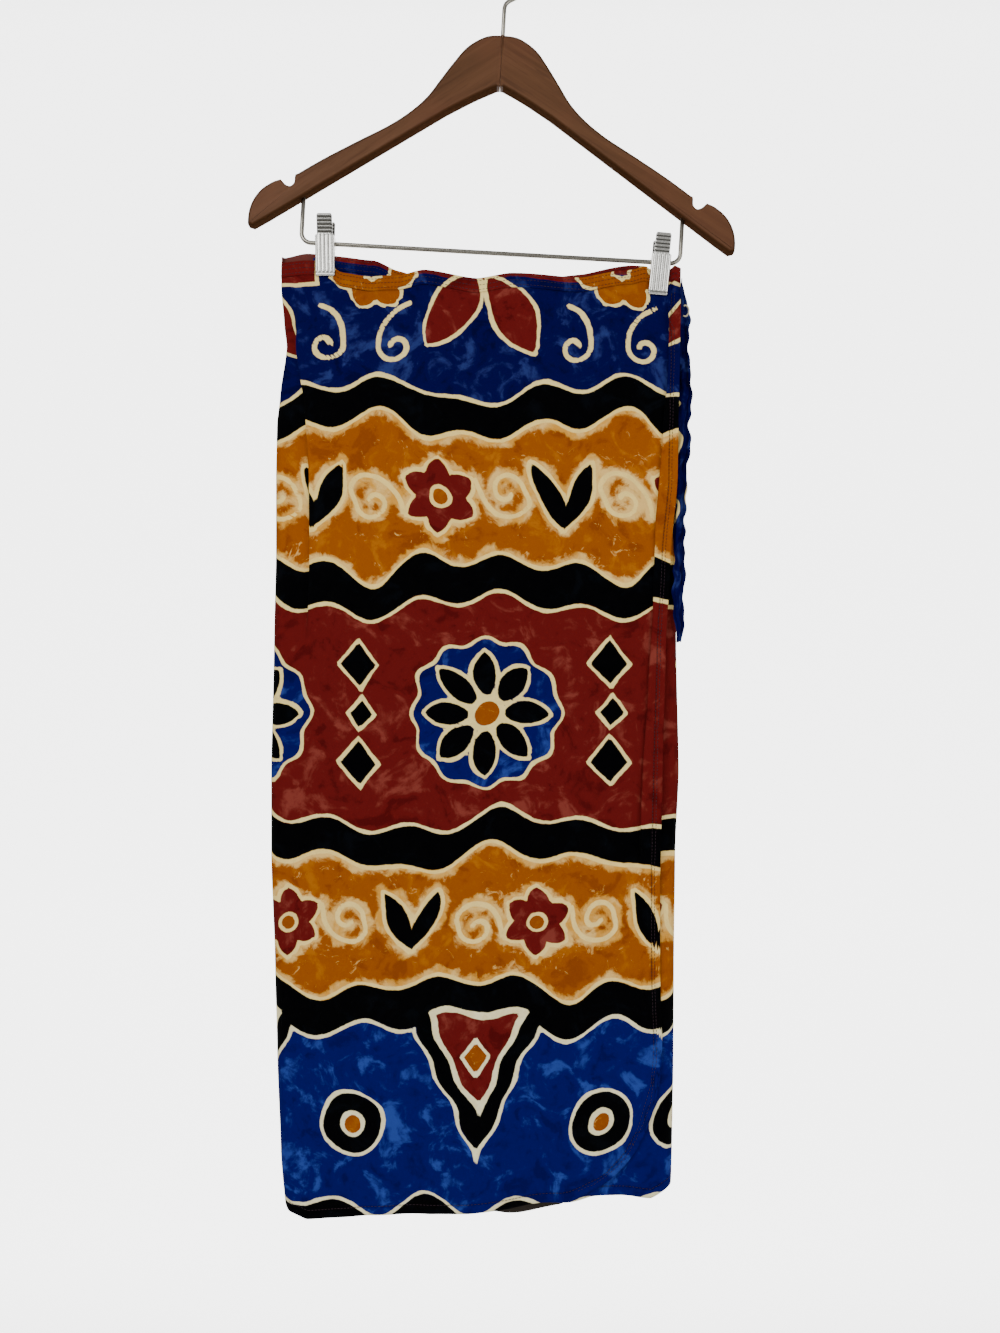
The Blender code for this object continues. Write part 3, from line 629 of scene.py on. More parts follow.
class Nodes:
    """Short names for building a node tree."""

    def __init__(self, name):
        self.material = bpy.data.materials.new(name)
        self.material.use_nodes = True
        self.tree = self.material.node_tree
        self.surface = self.tree.nodes["Principled BSDF"]

    def add(self, kind, inputs=None, **settings):
        """The outputs of a new node, after its settings and inputs are given."""
        node = self.tree.nodes.new(kind)
        for key, value in settings.items():
            setattr(node, key, value)
        self.give(node, inputs or {})
        return node.outputs

    def give(self, node, inputs):
        """Set a node's inputs, or join them to other nodes."""
        for name, value in inputs.items():
            if isinstance(value, bpy.types.NodeSocket):
                self.tree.links.new(value, node.inputs[name])
            else:
                node.inputs[name].default_value = value

    def shade(self, **inputs):
        """Give the shader its own inputs."""
        self.give(self.surface, {name.replace("_", " "): value for name, value in inputs.items()})

    def math(self, operation, a, b=0.0):
        return self.add("ShaderNodeMath", {0: a, 1: b}, operation=operation)[0]

    def plus(self, a, b):
        return self.math("ADD", a, b)

    def minus(self, a, b):
        return self.math("SUBTRACT", a, b)

    def times(self, a, b):
        return self.math("MULTIPLY", a, b)

    def field(self, name):
        return self.add("ShaderNodeAttribute", attribute_name=name)["Fac"]

    def grey(self, value):
        return self.add("ShaderNodeCombineColor", {0: value, 1: value, 2: value})[0]

    def parts(self, vector):
        return self.add("ShaderNodeSeparateXYZ", {0: vector})

    def mapping(self, source, scale, turn=(0, 0, 0)):
        return self.add("ShaderNodeMapping", {0: source, "Scale": scale, "Rotation": turn})[0]

    def uv(self, scale=(1, 1, 1)):
        return self.mapping(self.add("ShaderNodeUVMap", uv_map="cloth")[0], scale)

    def place(self, scale=(1, 1, 1), turn=(0, 0, 0)):
        return self.mapping(self.add("ShaderNodeTexCoord")["Object"], scale, turn)

    def noise(self, where, scale, detail, roughness, distortion=0.0):
        inputs = {"Vector": where, "Scale": scale, "Detail": detail, "Roughness": roughness}
        return self.add("ShaderNodeTexNoise", {**inputs, "Distortion": distortion})["Fac"]

    def range(self, value, low, high, to_low=0.0, to_high=1.0, kind="SMOOTHSTEP"):
        inputs = {"Value": value, "From Min": low, "From Max": high, "To Min": to_low, "To Max": to_high}
        return self.add("ShaderNodeMapRange", inputs, interpolation_type=kind)[0]

    def mix(self, share, a, b, blend="MIX"):
        """Mix two colours. A colour is a socket, or a tuple of display levels from 0 to 255."""
        a, b = (linear(c) if isinstance(c, tuple) else c for c in (a, b))
        return self.add("ShaderNodeMix", {0: share, 6: a, 7: b}, data_type="RGBA", blend_type=blend)[2]

    def bump(self, height, strength, distance, **normal):
        inputs = {"Height": height, "Strength": strength, "Distance": distance, **normal}
        return self.add("ShaderNodeBump", inputs)[0]


def printed_cloth(name, faded=False):
    """The dyed print: mottled fields of colour, cream lines, a fine weave, and a thin line of painted shade
    where the hem turns under.
    """
    n = Nodes(name)
    uv = n.uv()
    broad = n.noise(uv, 30.0, 5.0, 0.6, 1.1)
    fine = n.noise(uv, 95.0, 4.0, 0.6, 0.4)
    mottle = n.plus(n.times(broad, 0.74), n.times(fine, 0.26))
    light = n.range(mottle, 0.515, 0.64)
    dark = n.range(mottle, 0.47, 0.38)
    wander = n.minus(n.noise(uv, 150.0, 3.0, 0.6), 0.5)
    slow = n.minus(n.noise(uv, 34.0, 2.0, 0.5), 0.5)
    wobble = n.plus(n.times(wander, 1.6), n.times(slow, 2.0))

    def inside(field, soft=0.4):
        return n.range(n.plus(n.field(field), wobble), -soft, soft, 1.0, 0.0)

    def dyed(base, pale, deep, amount):
        colour = n.mix(n.times(light, amount), base, pale)
        return n.mix(n.times(dark, 0.8), colour, deep)

    line = n.minus(n.field("loose"), wobble)
    for field in ("black", "rust", "medallion", "ochre"):
        edge = n.math("ABSOLUTE", n.minus(n.plus(n.field(field), wobble), LINE_WIDTH / 2))
        line = n.math("MINIMUM", line, n.minus(edge, LINE_WIDTH / 2))
    line = n.plus(line, n.times(slow, 2.4))
    # The blue is darker near the waist and lighter lower down, and the cream paler lower down
    down = n.parts(uv)[1]
    lower = n.range(down, -0.10, -0.60)
    blue_high = dyed((4, 0, 62), (38, 48, 104), (1, 0, 44), 0.9)
    blue_low = dyed((4, 5, 88), (42, 66, 142), (1, 0, 70), 0.9)
    blue = n.mix(lower, blue_high, blue_low)
    ragged = n.times(n.range(n.noise(uv, 55.0, 5.0, 0.66, 0.5), 0.34, 0.66, kind="LINEAR"), 8.0)
    near_line = n.range(n.minus(line, ragged), 2.2, -2.6)
    flecks = n.range(n.noise(uv, 68.0, 5.0, 0.7, 1.4), 0.6, 0.72)
    amber = dyed((144, 72, 0), (168, 98, 12), (124, 56, 0), 0.8)
    amber = n.mix(n.times(flecks, 0.75), amber, (226, 178, 98))
    halo = n.mix(n.range(mottle, 0.42, 0.6), (210, 150, 58), (230, 190, 112))
    gold = n.mix(n.times(near_line, 0.9), amber, halo)
    red = dyed((92, 18, 17), (126, 56, 46), (70, 8, 9), 0.75)
    black = n.mix(light, (0, 0, 1), (3, 5, 9))
    cream = n.mix(n.range(down, -0.42, -0.76), (242, 218, 142), (242, 234, 190))
    cream = n.mix(n.times(inside("gold_zone", 2.0), 0.8), cream, (244, 208, 118))
    cream = n.mix(n.range(fine, 0.35, 0.65, 0.0, 0.35), cream, (212, 184, 112))
    colour = n.mix(inside("gold_zone"), blue, gold)
    colour = n.mix(inside("red_zone"), colour, red)
    colour = n.mix(inside("medallion"), colour, blue)
    colour = n.mix(inside("rust"), colour, red)
    colour = n.mix(inside("black"), colour, black)
    colour = n.mix(inside("ochre"), colour, n.mix(0.35, amber, (120, 56, 2)))
    colour = n.mix(n.range(line, 0.4, -0.4), colour, cream)
    warp = n.noise(n.uv((1, 0.2, 1)), WEAVE_SCALE, 1.0, 0.5)
    weft = n.noise(n.uv((0.2, 1, 1)), WEAVE_SCALE, 1.0, 0.5)
    weave = n.plus(warp, weft)
    grain = n.range(weave, 0.7, 1.3, 0.93, 1.07, "LINEAR")
    # Painted shade: a thin darker line along the edge of the turned-under hem, over the weave's own tone
    beside = n.math("ABSOLUTE", n.minus(n.field("turned"), TURNED_EDGE))
    grain = n.times(grain, n.range(beside, 0.2, 1.5, 0.72, 1.0))
    colour = n.mix(1.0, colour, n.grey(grain), "MULTIPLY")
    if faded:
        colour = n.mix(0.16, colour, (128, 116, 104))
    creases = n.noise(n.uv((1.0, 0.45, 1)), 17.0, 4.0, 0.55, 0.6)
    normal = n.bump(creases, 0.35, 0.006)
    pucker = n.times(n.minus(n.noise(uv, 210.0, 2.0, 0.5), 0.5), 0.8)
    edge = n.plus(n.field("turned"), pucker)
    doubled = n.range(edge, TURNED_EDGE - 0.7, TURNED_EDGE + 0.7, 1.0, 0.0)
    normal = n.bump(doubled, 0.9, 0.0006, Normal=normal)
    n.shade(
        Base_Color=colour, Roughness=n.range(fine, 0.3, 0.7, 0.78, 0.92, "LINEAR"), Sheen_Weight=0.012,
        Sheen_Roughness=0.4, Specular_IOR_Level=0.03, Normal=n.bump(weave, 0.25, 0.0003, Normal=normal),
    )
    return n.material


def add_piece(name, mesh, materials, node=None, wall=None):
    """A piece on the body root. A sheet is given the thickness wall, and its second material inside."""
    piece = new_object(name, mesh)
    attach(piece, "root")
    if node:
        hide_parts(node)
    for material in materials:
        mesh.materials.append(material)
    if wall:
        thick = piece.modifiers.new("thickness", "SOLIDIFY")
        thick.thickness = wall * MM
        thick.offset = 0.0
        thick.use_even_offset = True
        thick.material_offset = 1
    return piece


def ring_faces(rings, count, base=0):
    """Quads between rings of points, and a face over each end."""
    faces = []
    for i in range(rings - 1):
        for j in range(count):
            a, b = base + i * count + j, base + i * count + (j + 1) % count
            faces.append((a, b, b + count, a + count))
    last = base + count * (rings - 1)
    return faces + [tuple(range(base, base + count)), tuple(range(last, last + count))]


def relief(points, u, v):
    """Small soft wrinkles, across the cloth."""
    ripple = wave(u + 0.12 * v, 71, (1, 0.5, 0), (2, 0.3, 12)) * (0.4 + 0.6 * smooth(v / 500))
    ripple = ripple + wave(u * 0.6 - v * 0.35, 97, (1, 0.35, 30), (3, 0.16, 8))
    points[..., 1] += WRINKLE_HEIGHT * ripple
    return points


def seam_route(line, inset):
    """A line on the flat cloth, moved inward from its cut edge."""
    run = unit(np.gradient(line, axis=0))
    inward = np.stack([-run[:, 1], run[:, 0]], 1)
    if (inward @ [0, -1])[-len(inward) // 4:].mean() < 0:
        inward = -inward
    moved = line + inward * inset
    ends = max(2, int(inset / 2))
    return moved[ends:-ends]


def on_cloth(points, u, v, route, outward):
    """Places and outward directions on the cloth of a line drawn on it flat."""
    rows, columns = u.shape
    row, column = np.full(len(route), rows / 2), np.full(len(route), columns / 2)
    step = -1.0 if u[0, 0] > u[0, -1] else 1.0
    for _ in range(6):
        r = np.clip(row.round().astype(int), 0, rows - 1)
        spots = zip(route[:, 0], r)
        column = np.array([np.interp(step * t, step * u[i], np.arange(columns)) for t, i in spots])
        c = np.clip(column.round().astype(int), 0, columns - 1)
        row = np.array([np.interp(t, v[:, i], np.arange(rows)) for t, i in zip(route[:, 1], c)])
    r, c = np.clip(row.astype(int), 0, rows - 2), np.clip(column.astype(int), 0, columns - 2)
    a, b = (row - r)[:, None], (column - c)[:, None]
    place = (points[r, c] * (1 - a) * (1 - b) + points[r + 1, c] * a * (1 - b)
             + points[r, c + 1] * (1 - a) * b + points[r + 1, c + 1] * a * b)
    normal = np.cross(points[r + 1, c] - points[r, c], points[r, c + 1] - points[r, c])
    normal = unit(normal * -outward)
    return place + normal * CLOTH_WALL / 2, normal


def add_stitches(name, rows):
    """Short threads along each row, sunk into the cloth at both ends."""
    points, faces = [], []
    for place, normal in rows:
        run = np.concatenate([[0], np.cumsum(np.linalg.norm(np.diff(place, axis=0), axis=1))])
        for start in np.arange(0.5, run[-1] - STITCH_LENGTH, STITCH_PITCH):
            at = start + STITCH_LENGTH * np.array([0.0, 0.25, 0.75, 1.0])
            line = np.stack([np.interp(at, run, place[:, k]) for k in range(3)], 1)
            up = np.stack([np.interp(at, run, normal[:, k]) for k in range(3)], 1)
            line = line + up * np.array([-0.12, 0.1, 0.1, -0.12])[:, None]
            side = np.cross(line[-1] - line[0], up[1])
            side /= np.linalg.norm(side)
            sides = ring_faces(4, STITCH_SIDES, len(points))
            sides[-2] = sides[-2][::-1]
            faces += sides
            for spot, rise, thick in zip(line, up, (0.6, 1.0, 1.0, 0.6)):
                for c, s in arc(0, 360, STITCH_SIDES)[:-1]:
                    points.append(spot + (side * c + rise * s) * STITCH_RADIUS * thick)
    mesh = bpy.data.meshes.new(name)
    mesh.from_pydata((np.array(points) * MM).tolist(), [], faces)
    mesh.shade_smooth()
    return add_piece(name, mesh, [thread_dark])


def thread(name, shade, glint):
    """Twisted sewing thread."""
    n = Nodes(name)
    colour = n.mix(n.noise(n.place(), 2200.0, 2.0, 0.5), shade, glint)
    n.shade(Base_Color=colour, Roughness=0.6, Specular_IOR_Level=0.2)
    return n.material


CLOTH_WALL = 0.6
BAND_WALL = 1.3
WRINKLE_HEIGHT = 0.7
OUTER_SEAM = 5.2
OUTER_SEAM_ROWS = CLOTH_ROWS + 40
BAND_STRIP = 4.2
BAND_PRINT_SHIFT = 3
BAND_STITCH_ROWS = (2.4, 6.4, 10.6)
STITCH_PITCH = 3.1
STITCH_LENGTH = 2.3
STITCH_RADIUS = 0.24
STITCH_SIDES = 6
thread_dark = thread("dark_thread", (22, 12, 22), (58, 36, 44))
thread_cream = thread("cream_thread", (150, 140, 112), (200, 190, 156))
cloth = [printed_cloth("printed_cloth"), printed_cloth("printed_cloth_reverse", faded=True)]

front_clips = ["clip_left_front_jaw", "clip_right_front_jaw"]
back_clips = ["clip_left_back_jaw", "clip_right_back_jaw"]
for name, path, layer, outward, node, clips in (
    ("sarong_front", front_path, "front", -1, "front_wrap", front_clips),
    ("sarong_under", under_path, "under", -1, "under_wrap", front_clips),
    ("sarong_back", back_path, "back", 1, "back_panel", back_clips),
):
    points, u, v = cloth_grid(path, layer, BAND_HEIGHT + GAP, CLOTH_ROWS)
    points = relief(points, u, v)
    hem = np.stack([u[-1], v[-1]], 1)
    edges = [(u[-1], v[-1])]
    seams = []
    if layer == "front":
        edges.append((u[:, -1], v[:, -1]))
        hem = np.vstack([np.stack([u[:, -1], v[:, -1]], 1), hem[-2::-1]])
        seams.append(seam_route(hem[:OUTER_SEAM_ROWS], OUTER_SEAM))
    if layer == "under":
        edges.append((u[:, 0], v[:, 0]))
    seams.append(seam_route(hem, TURNED_EDGE))
    pleat_end = u.shape[1] - STRIP_STEPS - BEND_STEPS - 2
    beyond_pleat = (layer == "front") & (np.arange(u.shape[1]) >= pleat_end)
    mesh = grid_mesh(name, points, u, v, outward, edge_distance(u, v, edges), bare=beyond_pleat)
    piece = add_piece(name, mesh, cloth, node, CLOTH_WALL)
    rows = [on_cloth(points, u, v, route, outward) for route in seams]
    sewn = add_stitches(f"{name}_thread", rows)

for name, path, layer, outward, node, clip in (
    ("band_front", band_path, "front", -1, "waistband_front", "clip_left_front_jaw"),
    ("band_under", under_path, "under", -1, "waistband_under", "clip_left_front_jaw"),
    ("band_back", back_path, "back", 1, "waistband_back", "clip_left_back_jaw"),
):
    points, u, v = cloth_grid(path, layer, 0.0, BAND_ROWS, bottom=BAND_HEIGHT)
    strip = BAND_HEIGHT * np.linspace(0, 1, BAND_ROWS + 1)[:, None] - BAND_STRIP + wave(u, 83, (1, 0.8, 5))
    mesh = grid_mesh(name, points, u, v - BAND_PRINT_SHIFT, outward, strip=strip)
    piece = add_piece(name, mesh, cloth, node, BAND_WALL)
    rows = []
    for inset in BAND_STITCH_ROWS:
        share = inset / BAND_HEIGHT * BAND_ROWS
        low = int(share)
        level = points[low] * (1 - share + low) + points[low + 1] * (share - low)
        run = np.gradient(level, axis=0)
        normal = np.stack([run[:, 1], -run[:, 0], 0 * run[:, 0]], 1) * -outward
        normal = unit(normal * np.sign(run[len(run) // 2, 0]))
        rows.append((level + normal * BAND_WALL / 2, normal))
    sewn = add_stitches(f"{name}_thread", rows)

# Hanger, in its own upright frame before the tilt
HANGER_TILT = math.radians(3.25)
WOOD_TOP_Z = -75.0
WOOD_THICKNESS = 13.0
WOOD_EDGE_ROUND = 2.6
WOOD_SEAM = 0.15
WOOD_SEAM_ROUND = 0.5
MITRE_LIMIT = 1.6
HOOK_INNER_RADIUS = 19.0
HOOK_WIRE_RADIUS = 1.9
HOOK_START_ANGLE = 205.0
HOOK_END_ANGLE = -52.0
HOOK_STEM_TOP_Z = -50.0
HOOK_STEM_DEPTH = 16.0
BAR_Z = -271.3
BAR_HALF_SPAN = 173.0
BAR_WIRE_RADIUS = 2.0
BAR_BEND_RADIUS = 9.0
BAR_END_DEPTH = 9.0
CLIP_LEFT_X = -150.4
CLIP_RIGHT_X = 155.0
CLIP_RIGHT_TILT = math.radians(2.0)
CLIP_SHEET = 1.0
CLIP_FRONT_EAR = 8.8
CLIP_BACK_EAR = 7.5
SPRING_HALF_LENGTH = 6.1
TUBE_TIP = 0.3
TUBE_TIP_SHARE = 0.62
FLUTE_COUNT = 4
FLUTE_WIDTH = 0.16
FLUTE_DEPTH = 0.5
RIDGE_COUNT = 5
RIDGE_TOP_Z = 22.0
RIDGE_END_Z = 6.0
RIDGE_WIDTH = 0.24
RIDGE_DEPTH = 0.6
LIP_Z = -28.0
LIP_WIDTH = 0.9
LIP_DEPTH = 0.25
PLATE_LOW_Z = 5.6
PLATE_FADE = 1.2
COIL_TURNS = 6.5
COIL_RADIUS = 3.85
COIL_WIRE = 0.62
ARM_TOP = [(0, 0), (15, -2), (31, -12), (43, -27), (54, -43), (65, -59), (79, -73),
           (98, -87), (124, -102), (155, -120.3), (180.5, -137)]
NOTCH = [(181.3, -144.5), (184.6, -147.8), (189.0, -146.6), (193.0, -142.6)]
LOBE_CENTRE = (189.0, -179.0)
LOBE_RADII = (32.6, 36.6)
LOBE_START_ANGLE = 78.0
LOBE_END_ANGLE = -8.0
ARM_LOW = [(216.5, -185.5), (204, -177.5), (47.5, -72), (22, -57), (0, -46)]
JAW_ROWS = table(
    "z face half_width flange flute",
    (23.5, 11.2, 6.2, 9.6, 0), (22, 11.4, 7, 9.4, 0), (6, 8.9, 7, 6.6, 0),
    (5, 8.7, 8.8, 4.6, FLUTE_DEPTH),
    (4.4, 8.6, 8.8, -4.4, FLUTE_DEPTH),
    (-4.4, 7.8, 8.8, -4.4, FLUTE_DEPTH),
    (-6.2, 7.6, 8.8, 4.8, FLUTE_DEPTH),
    (-26.5, 5.4, 8.8, 3.4, FLUTE_DEPTH),
    (-27.5, 5.3, 8.8, 3.3, 0), (-29.5, 5, 8.8, 3.2, 0), (-30.5, 4.4, 8.2, 3.2, 0),
)
HANGER_FRAME = Matrix.Rotation(HANGER_TILT, 4, "Y")


def solid_mesh(name, points, faces, frame=HANGER_FRAME, painted_shade=None):
    """A smooth mesh from millimetre points, moved into place, its faces outward, with a painted shade share
    stored when given.
    """
    built = bmesh.new()
    corners = [built.verts.new(frame @ (Vector(point) * MM)) for point in points]
    for face in faces:
        built.faces.new([corners[index] for index in face])
    bmesh.ops.recalc_face_normals(built, faces=built.faces)
    mesh = bpy.data.meshes.new(name)
    built.to_mesh(mesh)
    built.free()
    if painted_shade is not None:
        store(mesh, "painted_shade", painted_shade)
    mesh.shade_smooth()
    return mesh


def arm_outline():
    """Outline of the right arm from the middle seam round, with how far each point rounds over."""
    top = [(*p, WOOD_EDGE_ROUND) for p in smooth_line(ARM_TOP, 7)]
    top[0] = (*ARM_TOP[0], WOOD_SEAM_ROUND)
    notch = [(*p, 1.0) for p in smooth_line([(180.9, -139.5)] + NOTCH, 4)]
    outline = top[:-1] + [(180.5, -137.2, 1.0)] + notch[:-1] + [(193.6, -142.2, 1.0)]
    for step, (c, s) in enumerate(arc(LOBE_START_ANGLE, LOBE_END_ANGLE, 32)[2:]):
        x, z = LOBE_CENTRE[0] + LOBE_RADII[0] * c, LOBE_CENTRE[1] + LOBE_RADII[1] * s
        outline.append((x, z, min(WOOD_EDGE_ROUND, 1.0 + 0.4 * step)))
    outline.append((*ARM_LOW[0], WOOD_EDGE_ROUND))
    start, end = np.array(ARM_LOW[1]), np.array(ARM_LOW[2])
    outline += [(*(start + (end - start) * k / 12), WOOD_EDGE_ROUND) for k in range(12)]
    low = smooth_line(ARM_LOW[2:], 6)
    outline += [(*p, WOOD_EDGE_ROUND) for p in low[:-1]]
    return outline + [(*low[-1], WOOD_SEAM_ROUND)]


def add_arm(side, name, slope):
    """One wooden arm, its edges rounded over and darkened with painted shade. side is -1 for the left arm.
    """
    outline = np.array(arm_outline())
    place, rounds = outline[:, :2], outline[:, 2]
    ahead = unit(np.roll(place, -1, axis=0) - place)
    along = unit(ahead + np.roll(ahead, 1, axis=0))
    inward = np.stack([along[:, 1], -along[:, 0]], 1)
    inward *= np.minimum(MITRE_LIMIT, 1 / np.maximum((along * ahead).sum(axis=1), 0.2))[:, None]
    half = WOOD_THICKNESS / 2
    rings = [(rounds * (1 - c), half - rounds + rounds * s) for c, s in arc(0, 90, 6)]
    rings.append((rounds + 0.4, 0 * rounds + half))
    points, rim = [], []
    for face_side, chosen in ((-1, rings[::-1]), (1, rings)):
        for inset, depth in chosen:
            moved = place + inward * inset[:, None]
            for (x, z), y in zip(moved, face_side * depth):
                points.append((side * (x + WOOD_SEAM), y, WOOD_TOP_Z + z))
            # Share of painted shade: from 1 over the rounded sides to near 0 on the flat faces, none at the
            # middle seam
            rim += (np.clip(1.25 - inset / rounds, 0, 1) * (rounds > WOOD_SEAM_ROUND)).tolist()
    faces = ring_faces(2 * len(rings), len(outline))
    mesh = solid_mesh(name, points, faces, painted_shade=rim)
    rim = np.array(rim)
    sides = [float(rim[list(face.vertices)].mean() > 0.55) for face in mesh.polygons]
    mesh.polygons.foreach_set("material_index", np.array(sides, np.int32))
    woods = [stained_wood(f"stained_{name}", slope, 0.12), stained_wood(f"stained_{name}_sides", slope, 0.0)]
    add_piece(name, mesh, woods, name.replace("wood_", "hanger_"))


def tube(route, radius, sides):
    """Rings round a line, with rounded ends: points and faces."""
    route = [Vector(p) for p in route]
    across = Vector((0, 1, 0))
    points, count = [], len(route)
    tangents = [(route[min(i + 1, count - 1)] - route[max(i - 1, 0)]).normalized() for i in range(count)]
    stations = [(route[0] - tangents[0] * radius * TUBE_TIP, tangents[0], TUBE_TIP_SHARE)]
    stations += [(p, t, 1.0) for p, t in zip(route, tangents)]
    stations.append((route[-1] + tangents[-1] * radius * TUBE_TIP, tangents[-1], TUBE_TIP_SHARE))
    for place, tangent, share in stations:
        across = (across - tangent * across.dot(tangent)).normalized()
        other = tangent.cross(across)
        for c, s in arc(0, 360, sides)[:-1]:
            points.append(place + (across * c + other * s) * radius * share)
    return points, ring_faces(len(stations), sides)


def hook_route():
    """Round the rail, back under it to the middle, and down into the wood."""
    centre_z, radius = -HOOK_INNER_RADIUS, HOOK_INNER_RADIUS + HOOK_WIRE_RADIUS
    route = [(radius * c, 0, centre_z + radius * s) for c, s in arc(HOOK_START_ANGLE, HOOK_END_ANGLE, 70)]
    leave = math.radians(HOOK_END_ANGLE)
    start, stem = Vector(route[-1]), Vector((0, 0, HOOK_STEM_TOP_Z))
    reach = (stem - start).length / 2
    a = start + Vector((math.sin(leave), 0, -math.cos(leave))) * reach
    b = stem + Vector((0, 0, reach))
    for k in range(1, 25):
        t = k / 24
        route.append(tuple(
            start * (1 - t) ** 3 + 3 * a * t * (1 - t) ** 2 + 3 * b * t * t * (1 - t) + stem * t ** 3
        ))
    return route + [(0, 0, WOOD_TOP_Z - HOOK_STEM_DEPTH)]


def bar_route():
    """Down from the left arm, across, and up to the right arm."""
    (outer_x, outer_z), (inner_x, inner_z) = ARM_LOW[1], ARM_LOW[2]
    share = (BAR_HALF_SPAN - inner_x) / (outer_x - inner_x)
    route = [(-BAR_HALF_SPAN, 0, WOOD_TOP_Z + inner_z + (outer_z - inner_z) * share + BAR_END_DEPTH)]
    for c, s in arc(180, 270, 14):
        route.append((-BAR_HALF_SPAN + BAR_BEND_RADIUS * (1 + c), 0, BAR_Z + BAR_BEND_RADIUS * (1 + s)))
    return route + [(-x, y, z) for x, y, z in reversed(route)]


def jaw_at(z):
    """A row of the jaw's table at any height."""
    for high, low in zip(JAW_ROWS, JAW_ROWS[1:]):
        if z >= low.z:
            share = (z - high.z) / (low.z - high.z)
            return high._make(p + (q - p) * share for p, q in zip(high, low))
    return JAW_ROWS[-1]


def jaw_section(row, ear, facing):
    """Outer face left to right with round corners and flutes, then the inner face back."""
    half = min(row.half_width, ear)
    bend = min(1.4, (row.face - row.flange) * 0.6)
    outer = [(-half, row.flange, 0.0)]
    outer += [(-half + bend * (1 - c), row.face - bend + bend * s, 0.0) for c, s in arc(0, 90, 6)]
    flat = half - bend
    for k in range(1, 48):
        x = flat * (k / 24 - 1)
        phase = (x / (half * 2 / (FLUTE_COUNT + 1)) + (0.5 if FLUTE_COUNT % 2 == 0 else 0)) % 1.0
        depth = math.exp(-(((phase - 0.5) / FLUTE_WIDTH) ** 2)) * row.flute / FLUTE_DEPTH
        if abs(x) > half * 0.92:
            depth = 0.0
        outer.append((x, row.face - depth * FLUTE_DEPTH * 1.3, depth))
    outer += [(-x, y, g) for x, y, g in reversed(outer[:8])]
    inner = []
    for x, y, _ in reversed(outer):
        inner.append((x * (half - CLIP_SHEET) / half, min(y, row.face) - CLIP_SHEET - 0.2, 0.0))
    inner[0] = (half - CLIP_SHEET, row.flange, 0.0)
    inner[-1] = (-half + CLIP_SHEET, row.flange, 0.0)
    inner = [(x, max(y, row.flange + 0.01 if 0 < i < len(inner) - 1 else row.flange), g)
             for i, (x, y, g) in enumerate(inner)]
    return [(x, facing * y, g) for x, y, g in outer + inner]


def spread(high, low, steps):
    return [high + (low - high) * k / steps for k in range(1, steps + 1)]


JAW_LEVELS = (
    [23.5, 23.2, 22.8, 22.4, RIDGE_TOP_Z] + spread(RIDGE_TOP_Z, RIDGE_END_Z, 8 * RIDGE_COUNT)
    + [5.5, 5.0, 4.7, 4.4] + spread(4.4, -4.4, 8) + [-4.9, -5.4, -6.2] + spread(-6.2, -26.5, 16)
    + [-27.0, -27.5, -28.2, -28.9, -29.5, -30.0, -30.3, -30.5]
)


def add_jaw(name, facing, ear, frame, painted_plate_shade):
    """A pressed jaw, ridged above the bar and fluted below. Painted shade darkens its flutes, ridges and
    lip, and the last argument darkens its ridged plate with more painted shade.
    """
    points, painted_shade = [], []
    for z in JAW_LEVELS:
        row = jaw_at(z)
        share = (RIDGE_TOP_Z - z) / (RIDGE_TOP_Z - RIDGE_END_Z) * RIDGE_COUNT
        ridge = math.exp(-((((share % 1.0) - 0.5) / RIDGE_WIDTH) ** 2)) if 0 < share < RIDGE_COUNT else 0.0
        lip = math.exp(-(((z - LIP_Z) / LIP_WIDTH) ** 2))
        row = row._replace(face=row.face - RIDGE_DEPTH * ridge - LIP_DEPTH * lip)
        for x, y, g in jaw_section(row, ear, facing):
            points.append((x, y, z))
            # Painted shade share: the ridged plate by the last argument, each ridge, the lip and the flutes
            plate = painted_plate_shade * float(smooth((z - PLATE_LOW_Z) / PLATE_FADE))
            painted_shade.append(max(g * 0.9, min(1.0, plate + (1 - plate) * ridge), 0.85 * lip))
    faces = ring_faces(len(JAW_LEVELS), len(points) // len(JAW_LEVELS))
    mesh = solid_mesh(name, points, faces, frame, painted_shade)
    add_piece(name, mesh, [chrome_sheet], name.replace("jaw_", "clip_") + "_jaw")


def add_spring(name, frame):
    """A close coil round the bar."""
    half = SPRING_HALF_LENGTH - COIL_WIRE
    steps = int(20 * COIL_TURNS)
    route = []
    for k, (c, s) in enumerate(arc(180, 180 + 360 * COIL_TURNS, steps)):
        route.append((2 * half * k / steps - half, COIL_RADIUS * c, COIL_RADIUS * s))
    mesh = solid_mesh(name, *tube(route, COIL_WIRE, 8), frame)
    add_piece(name, mesh, [chrome_wire], name.replace("coil_", "clip_") + "_spring")


def stained_wood(name, slope, gloss):
    """Reddish brown stain over long grain, under a satin lacquer, with painted shade on the rounded sides.
    """
    n = Nodes(name)
    along = n.place((1, 1, 1), (0, slope, 0))
    stretch = n.mapping(along, (0.05, 1, 1))
    grain = n.noise(stretch, 420.0, 5.0, 0.6, 0.5)
    bands = n.noise(stretch, 70.0, 3.0, 0.5, 0.8)
    broad = n.noise(along, 14.0, 2.0, 0.5)
    colour = n.mix(n.range(bands, 0.3, 0.7), (81, 52, 31), (94, 62, 40))
    colour = n.mix(n.times(n.range(grain, 0.5, 0.68), 0.4), colour, (62, 37, 24))
    colour = n.mix(n.times(n.range(broad, 0.4, 0.65), 0.35), colour, (101, 62, 42))
    # Painted shade: the rounded sides darkened towards (30, 18, 9)
    colour = n.mix(n.times(n.field("painted_shade"), 0.72), colour, (30, 18, 9))
    n.shade(
        Base_Color=colour, Roughness=n.range(grain, 0.35, 0.7, 0.5, 0.64, "LINEAR"),
        Specular_IOR_Level=gloss, Normal=n.bump(grain, 0.18, 0.0004),
    )
    return n.material


